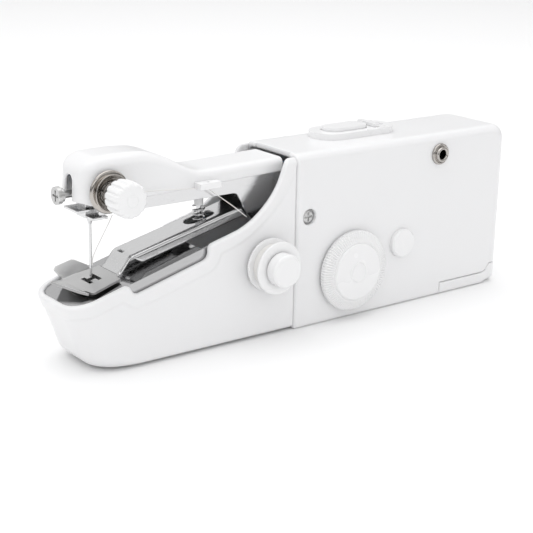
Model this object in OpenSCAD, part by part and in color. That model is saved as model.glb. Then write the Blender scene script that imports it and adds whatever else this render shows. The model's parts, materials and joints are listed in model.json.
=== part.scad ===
// Hand-held sewing machine: motor case, front bed case, rocking needle arm,
// presser lever, hand wheel with gear train, bobbin and battery door.
// X runs from the nose to the tail, -Y is the hand wheel side, +Z is up.
// The origin lies on the flat underside, on the middle plane of the case.

/* [Case] */
// Distance from the origin to the tail end of the motor case
tail_x = 105; // [100:1:126]
// Height of the motor case
case_h = 68; // [66:1:82]
// Depth of the motor case across the two flat sides
case_d = 33; // [33:0.5:40]
// Wall of the moulded cases
wall = 2; // [1.6:0.1:2.4]
// Place of the joint between the front case and the motor case
seam_x = -5.3; // [-6:0.1:-5]
// Place of the nose of the front case
nose_x = -99.5; // [-106:0.1:-98]
// Slope of the bed and of the rim of the front case, in degrees
bed_tilt = 14.8; // [13:0.1:16]
// Height of the rim above the underside, under the needle
rim_z = 29.6; // [28:0.1:31]

/* [Needle arm] */
// Place of the needle along the machine
needle_x = -83.4; // [-88:0.2:-80]
// Width of the arm cover
arm_w = 19; // [18:0.1:22]
// Height of the lower edge of the steel arm
arm_z = 55.2; // [54:0.1:57]
// Height of the top of the arm cover behind the head
arm_top_z = 65.6; // [64:0.1:66]
// Height of the top of the head
head_top_z = 75.4; // [72:0.1:80]
// Thickness of the stamped steel
sheet = 0.8; // [0.6:0.1:1]
// Radius of the pivot pin that both levers turn on
pivot_r = 1.8; // [1.4:0.1:2.2]

/* [Drive] */
// Radius of the hand wheel
wheel_r = 16; // [14:0.5:18]
// Module of the gear teeth
gear_m = 0.8; // [0.7:0.05:0.8]
// Teeth of the gear on the hand wheel shaft
main_n = 41; // [36:1:41]
// Teeth of the small idler gear
idler_small_n = 26; // [22:1:26]
// Teeth of the large idler gear
idler_large_n = 54; // [44:1:54]
// Teeth of the motor pinion
pinion_n = 11; // [10:1:12]
// Radius of the hand wheel shaft
shaft_r = 2.5; // [2:0.1:3]
// Throw of the crank pin
crank_throw = 1.8; // [1.4:0.1:2]
// Radius of the motor
motor_r = 12; // [10:0.5:12.5]

/* [Bobbin] */
// Radius of the bobbin flanges
bobbin_r = 10; // [9:0.1:10.5]
// Distance between the outer faces of the bobbin flanges
bobbin_w = 7; // [6:0.1:8]
// Radius of the bobbin post
post_r = 2.8; // [2.4:0.1:3]

/* [Power] */
// Radius of one battery cell
cell_r = 7.05; // [6.9:0.05:7.1]
// Height of one battery cell
cell_h = 50.2; // [49:0.1:50.5]
// Radius of the hole in the power socket
jack_hole_r = 1.8; // [1.3:0.1:2.2]
// Radius of the ring of the power socket
jack_ring_r = 4.3; // [4:0.1:5]
// Length of the battery door
door_len = 34; // [32:0.5:34]

/* [Fits] */
// Radial clearance of pins and shafts that turn
run_fit = 0.05; // [0.02:0.01:0.08]
// Clearance between pieces that slide past each other
slide_gap = 0.3; // [0.2:0.05:0.4]
// Backlash between gear teeth
backlash = 0.16; // [0.12:0.02:0.24]

/* [Hidden] */
$fn = 64;

half_d = case_d / 2;
front_half_d = half_d - 0.5;
inner_d = half_d - wall;
case_len = tail_x - seam_x;
edge_top_r = 3.4;
edge_low_r = 1.5;
tail_edge_r = 5;
tail_corner_r = 6;
nose_r = 10;
nose_tilt = 19.8;
nose_top_z = 24.6;
nose_low_r = 5;
band_out = 0.3;
cover_y = half_d - 4;
front_base_z = 1;
eps = 0.01;

// places of the axes in the side view
pivot = [0.8, 43.7];
wheel_at = [21.8, 19.7];
gear_gap = gear_m * (main_n + idler_small_n) / 2;
idler_dir = 14.2;
idler_at = wheel_at + gear_gap * [cos(idler_dir), sin(idler_dir)];
pinion_dir = 75;
pinion_gap = gear_m * (idler_large_n + pinion_n) / 2;
motor_at = idler_at + pinion_gap * [cos(pinion_dir), sin(pinion_dir)];
tail_at = [wheel_at[0] + crank_throw, pivot[1] + 1];
crank_at = [wheel_at[0] + crank_throw, wheel_at[1]];
bobbin_at = [-18.8, 29.1];
jack_at = [66.5, case_h - 8];
boss_at = [[6, 6.5], [66, 8], [68, 47], [14, 58]];

// places across the machine
cover_wall = 1.1;
plate_out = arm_w / 2 - cover_wall - 0.25;
gear_y = -12;
gear_w = 3.6;
large_y = -7;
large_w = 2.4;
bracket_y = -2.5;
bracket_t = 1.2;
crank_y = 0.2;
crank_w = 2.5;
rod_y = 4.5;
rod_w = 2;
boss_end_y = -(plate_out + 0.4);

function arc(cx, cy, r, a0, a1, n = 8) =
    [for (i = [0:n]) [cx + r * cos(a0 + (a1 - a0) * i / n), cy + r * sin(a0 + (a1 - a0) * i / n)]];
function rim_at(x) = rim_z + (x - needle_x) * tan(bed_tilt);

// turn a flat outline of the side view into a plate from y0 to y1
module side_plate(y0, y1) {
    translate([0, y1, 0]) rotate([90, 0, 0]) linear_extrude(height = y1 - y0) children();
}

// cylinder along Y, from y0 to y1, at a place of the side view
module y_rod(at, r, y0, y1) {
    translate([at[0], y1, at[1]]) rotate([90, 0, 0]) cylinder(r = r, h = y1 - y0);
}

// revolve an outline of [radius, y] around an axis along Y
module y_turn(at) {
    translate([at[0], 0, at[1]]) rotate([-90, 0, 0]) rotate_extrude() children();
}

// rectangle with a radius at each corner: low left, low right, top right, top left
module round_rect(x0, y0, x1, y1, rs) {
    difference() {
        translate([x0, y0]) square([x1 - x0, y1 - y0]);
        if (rs[0] > 0) difference() {
            translate([x0 - 1, y0 - 1]) square([rs[0] + 1, rs[0] + 1]);
            translate([x0 + rs[0], y0 + rs[0]]) circle(rs[0]);
        }
        if (rs[1] > 0) difference() {
            translate([x1 - rs[1], y0 - 1]) square([rs[1] + 1, rs[1] + 1]);
            translate([x1 - rs[1], y0 + rs[1]]) circle(rs[1]);
        }
        if (rs[2] > 0) difference() {
            translate([x1 - rs[2], y1 - rs[2]]) square([rs[2] + 1, rs[2] + 1]);
            translate([x1 - rs[2], y1 - rs[2]]) circle(rs[2]);
        }
        if (rs[3] > 0) difference() {
            translate([x0 - 1, y1 - rs[3]]) square([rs[3] + 1, rs[3] + 1]);
            translate([x0 + rs[3], y1 - rs[3]]) circle(rs[3]);
        }
    }
}

// outer form of the motor case, moved inwards by inset
module case_block(inset) {
    x0 = seam_x;
    x1 = tail_x - inset;
    y1 = half_d - inset;
    z1 = case_h - inset;
    intersection() {
        side_plate(-half_d, half_d)
            round_rect(x0, inset, x1, z1, [0, tail_corner_r - inset, tail_corner_r - inset, 0]);
        translate([x0 - 1, 0, 0]) rotate([90, 0, 90]) linear_extrude(height = case_len + 2)
            round_rect(-y1, inset, y1, z1,
                [edge_low_r, edge_low_r, edge_top_r - inset / 2, edge_top_r - inset / 2]);
        translate([0, 0, -1]) linear_extrude(height = case_h + 2)
            round_rect(x0, -y1, x1, y1, [0, tail_edge_r - inset / 2, tail_edge_r - inset / 2, 0]);
    }
}

// side view of the battery door; grow makes the opening that the door leaves
door_x = tail_x - door_len;
door_z = 5;
door_tail_z = 8.5;
module door_outline(grow) {
    polygon([[door_x - grow, -1], [door_x - grow, door_z + grow], [tail_x - 10, door_z + grow],
        [tail_x - 7.5, door_z + 0.8 + grow], [tail_x - 5.5, door_tail_z + grow],
        [tail_x + 1, door_tail_z + grow], [tail_x + 1, -1]]);
}

// switch on the top of the case
switch_x0 = 18;
switch_len = 38.5;
switch_y = 4.2;
switch_half = 8.4;
switch_h = 2.4;
button_x0 = 23.5;
button_len = 20;
button_half = 4.8;
button_h = 1.3;
button_travel = 1;
lock_x0 = 45;
lock_len = 2.4;
lock_travel = 5;
lock_half = 5.2;

module slot_outline(x0, len, half) {
    translate([x0 + half, 0]) circle(half);
    translate([x0 + len - half, 0]) circle(half);
    translate([x0 + half, -half]) square([len - 2 * half, 2 * half]);
}

// everything that passes through the walls of the motor case
jack_thread_r = 3;
screw_head_r = 2.9;
recess_r = 3.1;
recess_y = -half_d + 2.3;
bush_r = 4;
axle_r = 1.5;
boss_r = 2.7;
screw_r = 1.1;
module case_cuts() {
    y_rod(wheel_at, bush_r, -half_d - 1, -inner_d + 1);
    y_rod(idler_at, axle_r + run_fit, -half_d - 1, -inner_d + 1);
    y_rod(jack_at, jack_thread_r + 0.1, -half_d - 1, -inner_d + 1);
    y_rod(pivot, recess_r, -half_d - 1, recess_y);
    y_rod(pivot, pivot_r + run_fit, recess_y - 1, inner_d + 0.5);
    side_plate(-half_d - 1, half_d + 1) door_outline(slide_gap);
    translate([0, switch_y, case_h - wall - 1]) linear_extrude(height = wall + 2)
        slot_outline(button_x0 - slide_gap, button_len + 2 * slide_gap, button_half + slide_gap);
}

roof_x = seam_x + 0.9;
pivot_boss_r = 4.4;
mouth_half = arm_w / 2 + 1.2;

// deep moulded tray that holds the drive, the motor and the cells
module motor_case() {
    color("white") difference() {
        union() {
            difference() {
                case_block(0);
                difference() {
                    case_block(wall);
                    // wall between the drive and the cells
                    side_plate(-half_d, half_d) translate([door_x - 0.6, door_z + 1]) square([1.2, case_h]);
                }
                translate([seam_x - 1, cover_y, -1]) cube([case_len + 2, half_d, case_h + 2]);
            }
            for (p = boss_at) y_rod(p, boss_r, -inner_d - 0.5, bracket_y);
            y_rod(pivot, pivot_boss_r, -inner_d - 0.5, boss_end_y);
            for (p = cover_screw_at) y_rod(p, boss_r, cover_y - 8, cover_y);
        }
        case_cuts();
        for (p = boss_at) y_rod(p, screw_r, bracket_y - 7, bracket_y + 1);
        for (p = cover_screw_at) y_rod(p, screw_r + 0.2, cover_y - 8, cover_y + 1);
        mouth_cut();
    }
}

// room for the arm under the front edge of the roof
module mouth_cut() {
    translate([seam_x - 1, -mouth_half, case_h - wall - 1])
        cube([roof_x - seam_x + 1, 2 * mouth_half, wall + 2]);
}

cover_screw_at = [[100.2, case_h - 4.4], [64, case_h - 4.4], [14, case_h - 4.4], [4, 4.4], [66.5, 4.4]];
cover_screw_r = 2.1;

module back_cover() {
    color("white") difference() {
        union() {
            intersection() {
                difference() {
                    case_block(0);
                    case_block(wall);
                }
                translate([seam_x, cover_y, -1]) cube([case_len, half_d, case_h + 2]);
            }
            y_rod(pivot, pivot_boss_r, plate_out + 0.4, inner_d + 0.5);
        }
        case_cuts();
        mouth_cut();
        for (p = cover_screw_at) {
            y_rod(p, screw_r + 0.3, cover_y - 1, half_d + 1);
            y_rod(p, cover_screw_r + 0.2, half_d - 1.2, half_d + 1);
        }
    }
}

// cross-head screw along Y: head from y0 to y1, shank to y2
module cross_screw(at, head_r, y0, y1, r, y2) {
    difference() {
        union() {
            y_rod(at, head_r, min(y0, y1), max(y0, y1));
            y_rod(at, r, min(y1, y2), max(y1, y2));
        }
        for (turn = [0, 90]) translate([at[0], y0, at[1]]) rotate([0, turn, 0])
            cube([head_r * 1.3, 1.1, head_r * 0.3], center = true);
    }
}

module cover_screws() {
    color("silver") for (p = cover_screw_at)
        cross_screw(p, cover_screw_r, half_d - 0.1, half_d - 1.2, screw_r, cover_y - 5);
}

module bracket_screws() {
    color("silver") for (p = boss_at)
        cross_screw(p, 2.1, bracket_y + bracket_t + 1.2, bracket_y + bracket_t, screw_r - 0.05, bracket_y - 6);
}

// rim of the front case: straight along the bed, then an arc up to the roof
rim_bend = [-26, 58];
rim_bend_r = 11.5;
rim_end_tilt = 68;
rim_nose_x = nose_x - 5;
function rim_line(drop) = concat(
    [[rim_nose_x, rim_at(rim_nose_x) - drop / cos(bed_tilt)]],
    arc(rim_bend[0], rim_bend[1], rim_bend_r + drop, 270 + bed_tilt, 270 + rim_end_tilt, 10),
    [let (a = 270 + rim_end_tilt, r = rim_bend_r + drop, rise = case_h + 1 - rim_bend[1] - r * sin(a))
        [rim_bend[0] + r * cos(a) + rise / tan(rim_end_tilt), case_h + 1]]);
module below_rim(drop) {
    polygon(concat(rim_line(drop), [[seam_x + 3, case_h + 1], [seam_x + 3, -1],
        [rim_nose_x, -1]]));
}
// sloping nose line and the round under it
function nose_line(z) = nose_x + (nose_top_z - z) * tan(nose_tilt);
nose_low = [nose_line(front_base_z + nose_low_r) + nose_low_r / cos(nose_tilt), front_base_z + nose_low_r];
function nose_round(inset) = arc(nose_low[0], nose_low[1], nose_low_r - inset, 270, 180 + nose_tilt, 8);
module nose_prism(inset, half) {
    translate([nose_x + inset / cos(nose_tilt), 0, nose_top_z]) rotate([0, -nose_tilt, 0])
        translate([0, 0, -60]) linear_extrude(height = 140)
            round_rect(0, -half, 200, half, [nose_r - inset, 0, 0, nose_r - inset]);
}
module front_outline(drop, grow) {
    intersection() {
        below_rim(drop);
        polygon(concat([[nose_line(case_h + 2) - 2 * grow, case_h + 2], [seam_x, case_h + 2],
            [seam_x, front_base_z]], nose_round(-grow)));
    }
}

// inner pocket of the front case, open at the top and at the seam
bed_half = 14;
nose_wall = 1.9;
module front_pocket() {
    intersection() {
        side_plate(-half_d, half_d) polygon(concat(
            [[nose_line(case_h + 3), case_h + 3], [seam_x + 1, case_h + 3], [seam_x + 1, front_base_z + wall]],
            nose_round(wall)));
        nose_prism(nose_wall, bed_half);
    }
}

// scalloped window in each side of the rim
module rim_window() {
    side_plate(-half_d - 1, half_d + 1) polygon([[-77, rim_at(-77) + 1], [-77, rim_at(-77)],
        [-75, 29], [-73.6, 28.2], [-71.6, 27.9], [-70, 28.2], [-50, 33.8], [-47.4, 34.8],
        [-46, 36], [-45.2, 37.6], [-44.9, 39.5], [-44.9, rim_at(-44.9) + 1]]);
}

module front_shape(half, drop, grow) {
    intersection() {
        side_plate(-half, half) front_outline(drop, grow);
        nose_prism(-grow, half);
        translate([nose_x - 3, 0, 0]) rotate([90, 0, 90]) linear_extrude(height = seam_x - nose_x + 6)
            round_rect(-half, front_base_z, half, case_h, [edge_low_r, edge_low_r, edge_top_r, edge_top_r]);
    }
}

module front_case() {
    color("white") difference() {
        union() {
            front_shape(front_half_d, 0, 0);
            // raised band along the rim
            difference() {
                front_shape(front_half_d + band_out, 0, band_out);
                front_shape(front_half_d + 1, 5, 1);
            }
            y_rod(bobbin_at, 5, -front_half_d - 0.6, -front_half_d);
        }
        front_pocket();
        rim_window();
        y_rod(bobbin_at, post_r, -half_d - 2, -bed_half + 1);
    }
}

// stamped bed frame under the rim: top plate at the nose, side walls to the seam
bed_y = bed_half;
bed_top_x = -46;
bed_drop = 1;
needle_slot = 2.4;
module bed_line(x0, x1, drop) {
    polygon([[x0, rim_at(x0) - drop], [x1, rim_at(x1) - drop],
        [x1, rim_at(x1) - drop - 8], [x0, rim_at(x0) - drop - 8]]);
}
module bed_frame() {
    color("silver") difference() {
        intersection() {
            union() {
                difference() {
                    side_plate(-bed_y, bed_y) bed_line(nose_x, bed_top_x, bed_drop);
                    side_plate(-bed_y + sheet, bed_y - sheet) bed_line(nose_x + 2.6, bed_top_x + 1, bed_drop + sheet);
                }
                for (s = [-1, 1]) side_plate(s * (bed_y - sheet / 2) - sheet / 2, s * (bed_y - sheet / 2) + sheet / 2)
                    polygon([[bed_top_x - 1, rim_at(bed_top_x - 1) - bed_drop], [-26, rim_at(-26) - bed_drop],
                        [-9, 47], [-9, 40], [-26, 36], [bed_top_x - 1, rim_at(bed_top_x - 1) - 9]]);
            }
            nose_prism(nose_wall + slide_gap, bed_y);
        }
        // needle hole and feed slots
        translate([needle_x, 0, 20]) cylinder(r = needle_slot, h = 20);
        for (s = [-1, 1]) translate([needle_x - 6, s * feed_y - feed_slot / 2, 20]) cube([12, feed_slot, 20]);
    }
}
feed_y = 4.6;
feed_slot = 2;

// steel plate that carries the shafts and the motor
module gear_bracket() {
    color("lightgray") difference() {
        side_plate(bracket_y, bracket_y + bracket_t) difference() {
            polygon([[3, 3.8], [69, 3.8], [70.2, 5], [70.2, 50.5], [66, case_h - 6], [64, case_h - 4],
                [15, case_h - 4], [11, case_h - 6], [10, 50], [8.8, 12], [3, 10]]);
        }
        y_rod(wheel_at, bush_r, bracket_y - 1, bracket_y + 3);
        y_rod(idler_at, axle_r + run_fit, bracket_y - 1, bracket_y + 3);
        y_rod(motor_at, motor_hub_r, bracket_y - 1, bracket_y + 3);
        for (p = boss_at) y_rod(p, screw_r + 0.1, bracket_y - 1, bracket_y + 3);
        for (s = [-1, 1]) y_rod(motor_at + [s * motor_screw_x, 0], 1.05, bracket_y - 1, bracket_y + 3);
    }
}
motor_hub_r = 3;
motor_screw_x = 8;
motor_back_y = 14;

module pivot_screw() {
    color("silver") difference() {
        union() {
            y_rod(pivot, pivot_r, recess_y, inner_d);
            y_turn(pivot) polygon([[0, recess_y - 1.5], [screw_head_r - 0.8, recess_y - 1.4],
                [screw_head_r, recess_y - 0.8], [screw_head_r, recess_y], [0, recess_y]]);
        }
        for (turn = [0, 90]) translate([pivot[0], recess_y - 1.6, pivot[1]]) rotate([0, turn, 0])
            cube([3.6, 1.6, 0.8], center = true);
    }
}

lever_half = 6.6;
lever_flange = 3.7;
module pivot_sleeve() {
    color("silver") difference() {
        y_rod(pivot, pivot_r + 1, -(lever_half - sheet - 0.3), lever_half - sheet - 0.3);
        y_rod(pivot, pivot_r + run_fit, -10, 10);
    }
}

plate_x = needle_x - 0.8;
web_x = needle_x + 3;
// side view of the arm plate; the far one runs on to the rod
module arm_plate_outline(tail) {
    leg = [[-28.4, arm_z], [-27, arm_z - 0.4], [-26.2, arm_z - 1.4], [-22.4, 47], [-17, 41],
        [pivot[0] - 4, pivot[1] - 5.2]];
    polygon(concat([[plate_x, web_z], [plate_x, arm_z]], leg,
        arc(pivot[0], pivot[1], 5.4, 250, 330, 6),
        tail ? [[tail_at[0] - 2, tail_at[1] - 3.4], [tail_at[0] + 2, tail_at[1] - 2.6],
            [tail_at[0] + 3.4, tail_at[1]], [tail_at[0] + 2, tail_at[1] + 2.8]] : [],
        [[pivot[0] + 5, pivot[1] + 5], [-3, 60], [-9, 63]]));
}

web_z = 62;
module arm_lever() {
    color("silver") difference() {
        union() {
            side_plate(-plate_out, -plate_out + sheet) arm_plate_outline(false);
            side_plate(plate_out - sheet, plate_out) arm_plate_outline(true);
            side_plate(-plate_out, plate_out) polygon([[web_x, web_z - sheet], [-9, web_z + 1 - sheet],
                [-9, web_z + 1], [web_x, web_z]]);
        }
        y_rod(pivot, pivot_r + run_fit, -half_d, half_d);
        y_rod(tension_at, post_tension_r, -half_d, -plate_out + 2);
        y_rod(tail_at, rivet_r, 0, half_d);
        translate([stud_x, 0, web_z - 3]) cylinder(r = 1.2, h = 6);
    }
}
tension_z = 63.8;
tension_at = [needle_x + 1.4, tension_z];
post_tension_r = 1.6;
rivet_r = 1.4;
stud_x = -38.2;

// cover of the arm, lofted through stations of [x, low z, top z, half width, top radius]
cover_low = 58.6;
head_x = needle_x - 8;
function cover_stations(inset) = [
    [head_x + 0.0 + inset, cover_low + 1.6, head_top_z - 7.4 - inset, 3.5 - inset * 0.5, 2.4],
    [head_x + 0.9 + inset, cover_low + 0.4, head_top_z - 4.8 - inset, 6.2 - inset, 3.4],
    [head_x + 2.8 + inset * 0.6, cover_low, head_top_z - 2.4 - inset, 8.2 - inset, 4.2],
    [head_x + 6.0, cover_low, head_top_z - 0.8 - inset, arm_w / 2 - inset, 4.8],
    [head_x + 11, cover_low + 0.1, head_top_z - 0.2 - inset, arm_w / 2 - inset, 5],
    [head_x + 22.4, cover_low + 0.4, head_top_z - 0.2 - inset, arm_w / 2 - inset, 5],
    [head_x + 28.4, cover_low + 0.6, head_top_z - 0.9 - inset, arm_w / 2 - inset, 5],
    [head_x + 33.4, cover_low + 0.8, head_top_z - 2.6 - inset, arm_w / 2 - inset, 4.6],
    [head_x + 37.9, cover_low + 1, head_top_z - 4.9 - inset, arm_w / 2 - inset, 4],
    [head_x + 41.9, cover_low + 1.1, head_top_z - 7 - inset, arm_w / 2 - inset, 3.4],
    [head_x + 45.6, cover_low + 1.2, arm_top_z + 0.7 - inset, arm_w / 2 - inset, 3],
    [head_x + 49.6, cover_low + 1.4, arm_top_z - 0.2 - inset, arm_w / 2 - inset, 2.8],
    [cover_end_x, cover_low + 2.4, arm_top_z + 0.7 - inset, arm_w / 2 - inset, 2.6]];
cover_end_x = seam_x - 1.4;
function cover_ring(s, low) = concat(
    [[s[0], -s[3], s[1] - low], [s[0], s[3], s[1] - low]],
    [for (i = [0:8]) [s[0], s[3] - s[4] + s[4] * cos(90 * i / 8), s[2] - s[4] + s[4] * sin(90 * i / 8)]],
    [for (i = [0:8]) [s[0], -s[3] + s[4] - s[4] * sin(90 * i / 8), s[2] - s[4] + s[4] * cos(90 * i / 8)]]);
module loft(rings) {
    n = len(rings[0]);
    m = len(rings);
    polyhedron(points = [for (ring = rings) each ring],
        faces = concat([[for (i = [0:n - 1]) i]], [[for (i = [n - 1:-1:0]) (m - 1) * n + i]],
            [for (k = [0:m - 2], i = [0:n - 1]) each
                [[k * n + i, (k + 1) * n + (i + 1) % n, k * n + (i + 1) % n],
                 [k * n + i, (k + 1) * n + i, (k + 1) * n + (i + 1) % n]]]));
}
slot_half = 2.4;
clamp_screw_z = 62;
slot_top = clamp_screw_z + 4.4;
module arm_cover() {
    color("white") difference() {
        loft([for (s = cover_stations(0)) cover_ring(s, 0)]);
        loft([for (s = cover_stations(cover_wall)) cover_ring(
            [s[0] + (s[0] > -20 ? 1 : 0), s[1], s[2], s[3], s[4]], 2)]);
        // slot for the clamp screw
        translate([head_x - 2, -slot_half, slot_top - 20]) cube([5, 2 * slot_half, 20]);
        translate([head_x - 2, 0, slot_top]) rotate([0, 90, 0]) cylinder(r = slot_half, h = 5);
        y_rod(tension_at, post_tension_r + 0.3, -half_d, 0);
    }
}

// clamp that holds the needle in the head
shank_r = 1.02;
module needle_clamp() {
    color("silver") difference() {
        union() {
            translate([needle_x - 3.4, -3, 53.4]) cube([6.4, 6, 13]);
            translate([needle_x - 7.4, -4.6, 56]) cube([12.6, 9.2, sheet]);
            translate([needle_x - 3, -7.4, 53.4]) cube([6, 4.6, sheet]);
        }
        translate([needle_x, 0, 40]) cylinder(r = shank_r, h = 40);
        translate([needle_x - 6, 0, clamp_screw_z]) rotate([0, 90, 0]) cylinder(r = 1.3, h = 6);
    }
}

needle_tip_z = 29.6;
needle_len = 36;
needle_r = 0.5;
module needle() {
    color("silver") translate([needle_x, 0, needle_tip_z]) difference() {
        rotate_extrude() polygon([[0, 0], [0.12, 0.2], [needle_r, 5], [needle_r, 20.6], [1, 22],
            [1, needle_len - 0.4], [0.7, needle_len], [0, needle_len]]);
        translate([0, 2, 5.4]) rotate([90, 0, 0]) cylinder(r = 0.22, h = 4);
    }
}

module clamp_screw() {
    color("silver") translate([needle_x - 1.05, 0, clamp_screw_z]) rotate([0, -90, 0]) difference() {
        union() {
            cylinder(r = 1.25, h = 9.4);
            translate([0, 0, 9.4]) cylinder(r = 2.5, h = 1);
            translate([0, 0, 10.4]) cylinder(r = 3.1, h = 1.6);
        }
        for (turn = [0, 90]) rotate(turn) translate([0, 0, 12]) cube([4, 0.8, 1.6], center = true);
    }
}

disc_y = -arm_w / 2 - 0.4;
module tension_post() {
    color("silver") {
        y_rod(tension_at, post_tension_r, disc_y - 15.2, -plate_out + sheet);
        y_rod(tension_at, 2.4, -plate_out + sheet, -plate_out + sheet + 1);
    }
}

// two dished discs that grip the thread
disc_r = 7.5;
module disc_outline(y, s) {
    polygon([[post_tension_r + 0.15, y], [4.6, y], [disc_r - 0.5, y + s * 0.75], [disc_r, y + s * 1.1],
        [disc_r, y + s * 1.5], [disc_r - 0.8, y + s * 1.25], [4.4, y + s * 0.5], [post_tension_r + 0.15, y + s * 0.5]]);
}
module tension_discs() {
    color("silver") {
        y_turn(tension_at) disc_outline(disc_y - 1.6, 1);
        y_turn(tension_at) disc_outline(disc_y - 1.8, -1);
    }
}

// spring between the discs and the knob
module ring_turns(at, r, wire, y0, pitch, n) {
    for (i = [0:n - 1]) translate([at[0], y0 - i * pitch, at[1]]) rotate([90, 0, 0])
        rotate_extrude($fn = 40) translate([r, 0]) circle(wire, $fn = 16);
}
module tension_spring() {
    color("gray") ring_turns(tension_at, 3.1, 0.5, disc_y - 3, 1.02, 5);
}

knob_r = 6;
knob_y0 = disc_y - 7.8;
knob_len = 8.6;
knob_flutes = 14;
module tension_knob() {
    color("white") difference() {
        union() {
            y_turn(tension_at) polygon([[0, knob_y0], [knob_r - 0.9, knob_y0], [knob_r - 0.5, knob_y0 - knob_len + 1],
                [knob_r - 1.3, knob_y0 - knob_len], [0, knob_y0 - knob_len]]);
            for (i = [0:knob_flutes - 1]) translate([tension_at[0], 0, tension_at[1]])
                rotate([0, i * 360 / knob_flutes, 0]) translate([knob_r - 0.85, knob_y0 - knob_len + 0.8, 0])
                    rotate([-90, 0, 0]) cylinder(r = 0.75, h = knob_len - 1);
            y_rod(tension_at, 2, knob_y0 - knob_len - 0.4, knob_y0 - knob_len);
        }
        y_rod(tension_at, post_tension_r + run_fit, knob_y0 - 7.6, knob_y0 + 1);
    }
}

guide_x0 = -46.5;
guide_len = 9;
guide_z = 59.8;
module thread_guide() {
    color("white") difference() {
        translate([guide_x0, -arm_w / 2 - 4, guide_z]) cube([guide_len, 4, 2.2]);
        translate([guide_x0 + guide_len / 2, -arm_w / 2 - 2, guide_z - 1]) cylinder(r = 0.6, h = 5);
    }
}

module spring_stud() {
    color("white") translate([stud_x, 0, 0]) {
        translate([0, 0, 50.6]) cylinder(r = 1.7, h = web_z - sheet - 50.6);
        translate([0, 0, web_z - 2]) cylinder(r = 1.2, h = 2.2);
    }
}

module presser_spring() {
    color("silver") translate([stud_x, 0, 0]) {
        translate([0, 0, 44.6]) cylinder(r = 0.9, h = 6);
        for (i = [0:4]) translate([0, 0, 45 + i * 1.15]) rotate_extrude($fn = 40)
            translate([1.75, 0]) circle(0.42, $fn = 16);
        translate([0, 0, 44.4]) cylinder(r = 2, h = 0.6);
    }
}

// thread swept along a route with six sides
thread_r = 0.2;
function unit(v) = v / norm(v);
function side_of(d) = unit(cross(d, [0.13, 0.31, 0.94]));
module thread(route, r) {
    n = len(route);
    rings = [for (i = [0:n - 1])
        let (d = unit(route[min(i + 1, n - 1)] - route[max(i - 1, 0)]), a = side_of(d), b = cross(d, a))
        [for (k = [0:7]) route[i] + r * (cos(45 * k) * a + sin(45 * k) * b)]];
    loft(rings);
}
arm_thread_route = [[-74.8, -11.2, 62.6], [-64, -11.3, 61.7], [-54, -11.4, 60.9], [-46.9, -11.5, 60.3]];
needle_thread_route = [[-81, -11.2, 55.6], [-80.2, -6, 50], [-81.4, -3, 43], [-83.2, -0.9, 35.4]];
feed_thread_route = [[-42, -11.5, 59.6], [-38, -11.7, 56.6], [-31, -12, 51.4], [-25.4, -12.3, 46.8]];
module arm_thread() { color("white") thread(arm_thread_route, thread_r); }
module needle_thread() { color("white") thread(needle_thread_route, thread_r); }
module feed_thread() { color("white") thread(feed_thread_route, thread_r); }

// presser lever: bent channel that slopes down to the foot, with ears on the pivot
lever_tilt = 13.4;
lever_x = -70;
lever_z = 38.3;
lever_end_x = -6;
function lever_top(x) = lever_z + (x - lever_x) * tan(lever_tilt);
oval_half = 3;
oval_len = 12;
module presser_lever() {
    color("silver") difference() {
        union() {
            side_plate(-lever_half, lever_half) polygon([[lever_x, lever_z], [lever_end_x, lever_top(lever_end_x)],
                [lever_end_x, lever_top(lever_end_x) - sheet], [lever_x + 0.3, lever_z - sheet],
                [foot_x1 + 0.7, foot_z1 - sheet], [foot_x1, foot_z1 - 0.02], [lever_x - 0.9, lever_z - 0.4]]);
            for (s = [-1, 1]) side_plate(s * (lever_half - sheet / 2) - sheet / 2, s * (lever_half - sheet / 2) + sheet / 2)
                polygon(concat([[lever_x, lever_z], [lever_end_x, lever_top(lever_end_x)],
                    [pivot[0] + 3.4, pivot[1] + 4.4]], arc(pivot[0], pivot[1], 4.4, 20, -140, 10),
                    [[-12, 44.4], [-22, lever_top(-22) - lever_flange], [lever_x + 6, lever_top(lever_x + 6) - lever_flange],
                    [lever_x + 1.6, lever_z - 2.6], [lever_x - 1.2, lever_z - 2.4]]));
        }
        y_rod(pivot, pivot_r + run_fit, -half_d, half_d);
        translate([stud_x - oval_len / 2, 0, 30]) linear_extrude(height = 30) slot_outline(0, oval_len, oval_half);
    }
}

// presser foot: sole with the needle slot, guide wing and turned-up toe
foot_tilt = 13.4;
foot_z = 30.4;
foot_x1 = -76.2;
foot_z1 = foot_z + (foot_x1 - needle_x) * tan(foot_tilt);
foot_t = 0.9;
module on_foot() {
    translate([needle_x, 0, foot_z]) rotate([0, -foot_tilt, 0]) children();
}
module presser_foot() {
    color("silver") on_foot() {
        difference() {
            translate([0, 0, -foot_t]) linear_extrude(height = foot_t) polygon([[7.3, 7.2], [7.3, -6.6],
                [6.4, -7], [6.2, -9.4], [-4.6, -10.8], [-5.8, -10], [-7.6, 0], [-7, 9.6], [-6.4, 9.8]]);
            for (s = [-1, 1]) translate([s * 1.75 - 0.75, -3.4, -2]) cube([1.5, 6.6, 3]);
            translate([-2.4, -1.2, -2]) cube([4.8, 2.4, 3]);
        }
        // toe
        translate([-7, 0, 0]) rotate([0, 24, 0]) translate([0, 0, -foot_t])
            linear_extrude(height = foot_t) polygon([[0.6, -9.4], [-1.6, -6.4], [-5.6, 6.4], [-0.4, 8.8], [0.4, 9]]);
        // guide wing
        translate([0, 9.2, -foot_t]) rotate([38, 0, 0])
            linear_extrude(height = foot_t) polygon([[-6.4, 0], [4.6, 0], [4.4, 1.6], [1.4, 5.6], [0.4, 6.2],
                [-6.2, 6.2], [-7.2, 5.4]]);
    }
}

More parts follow.
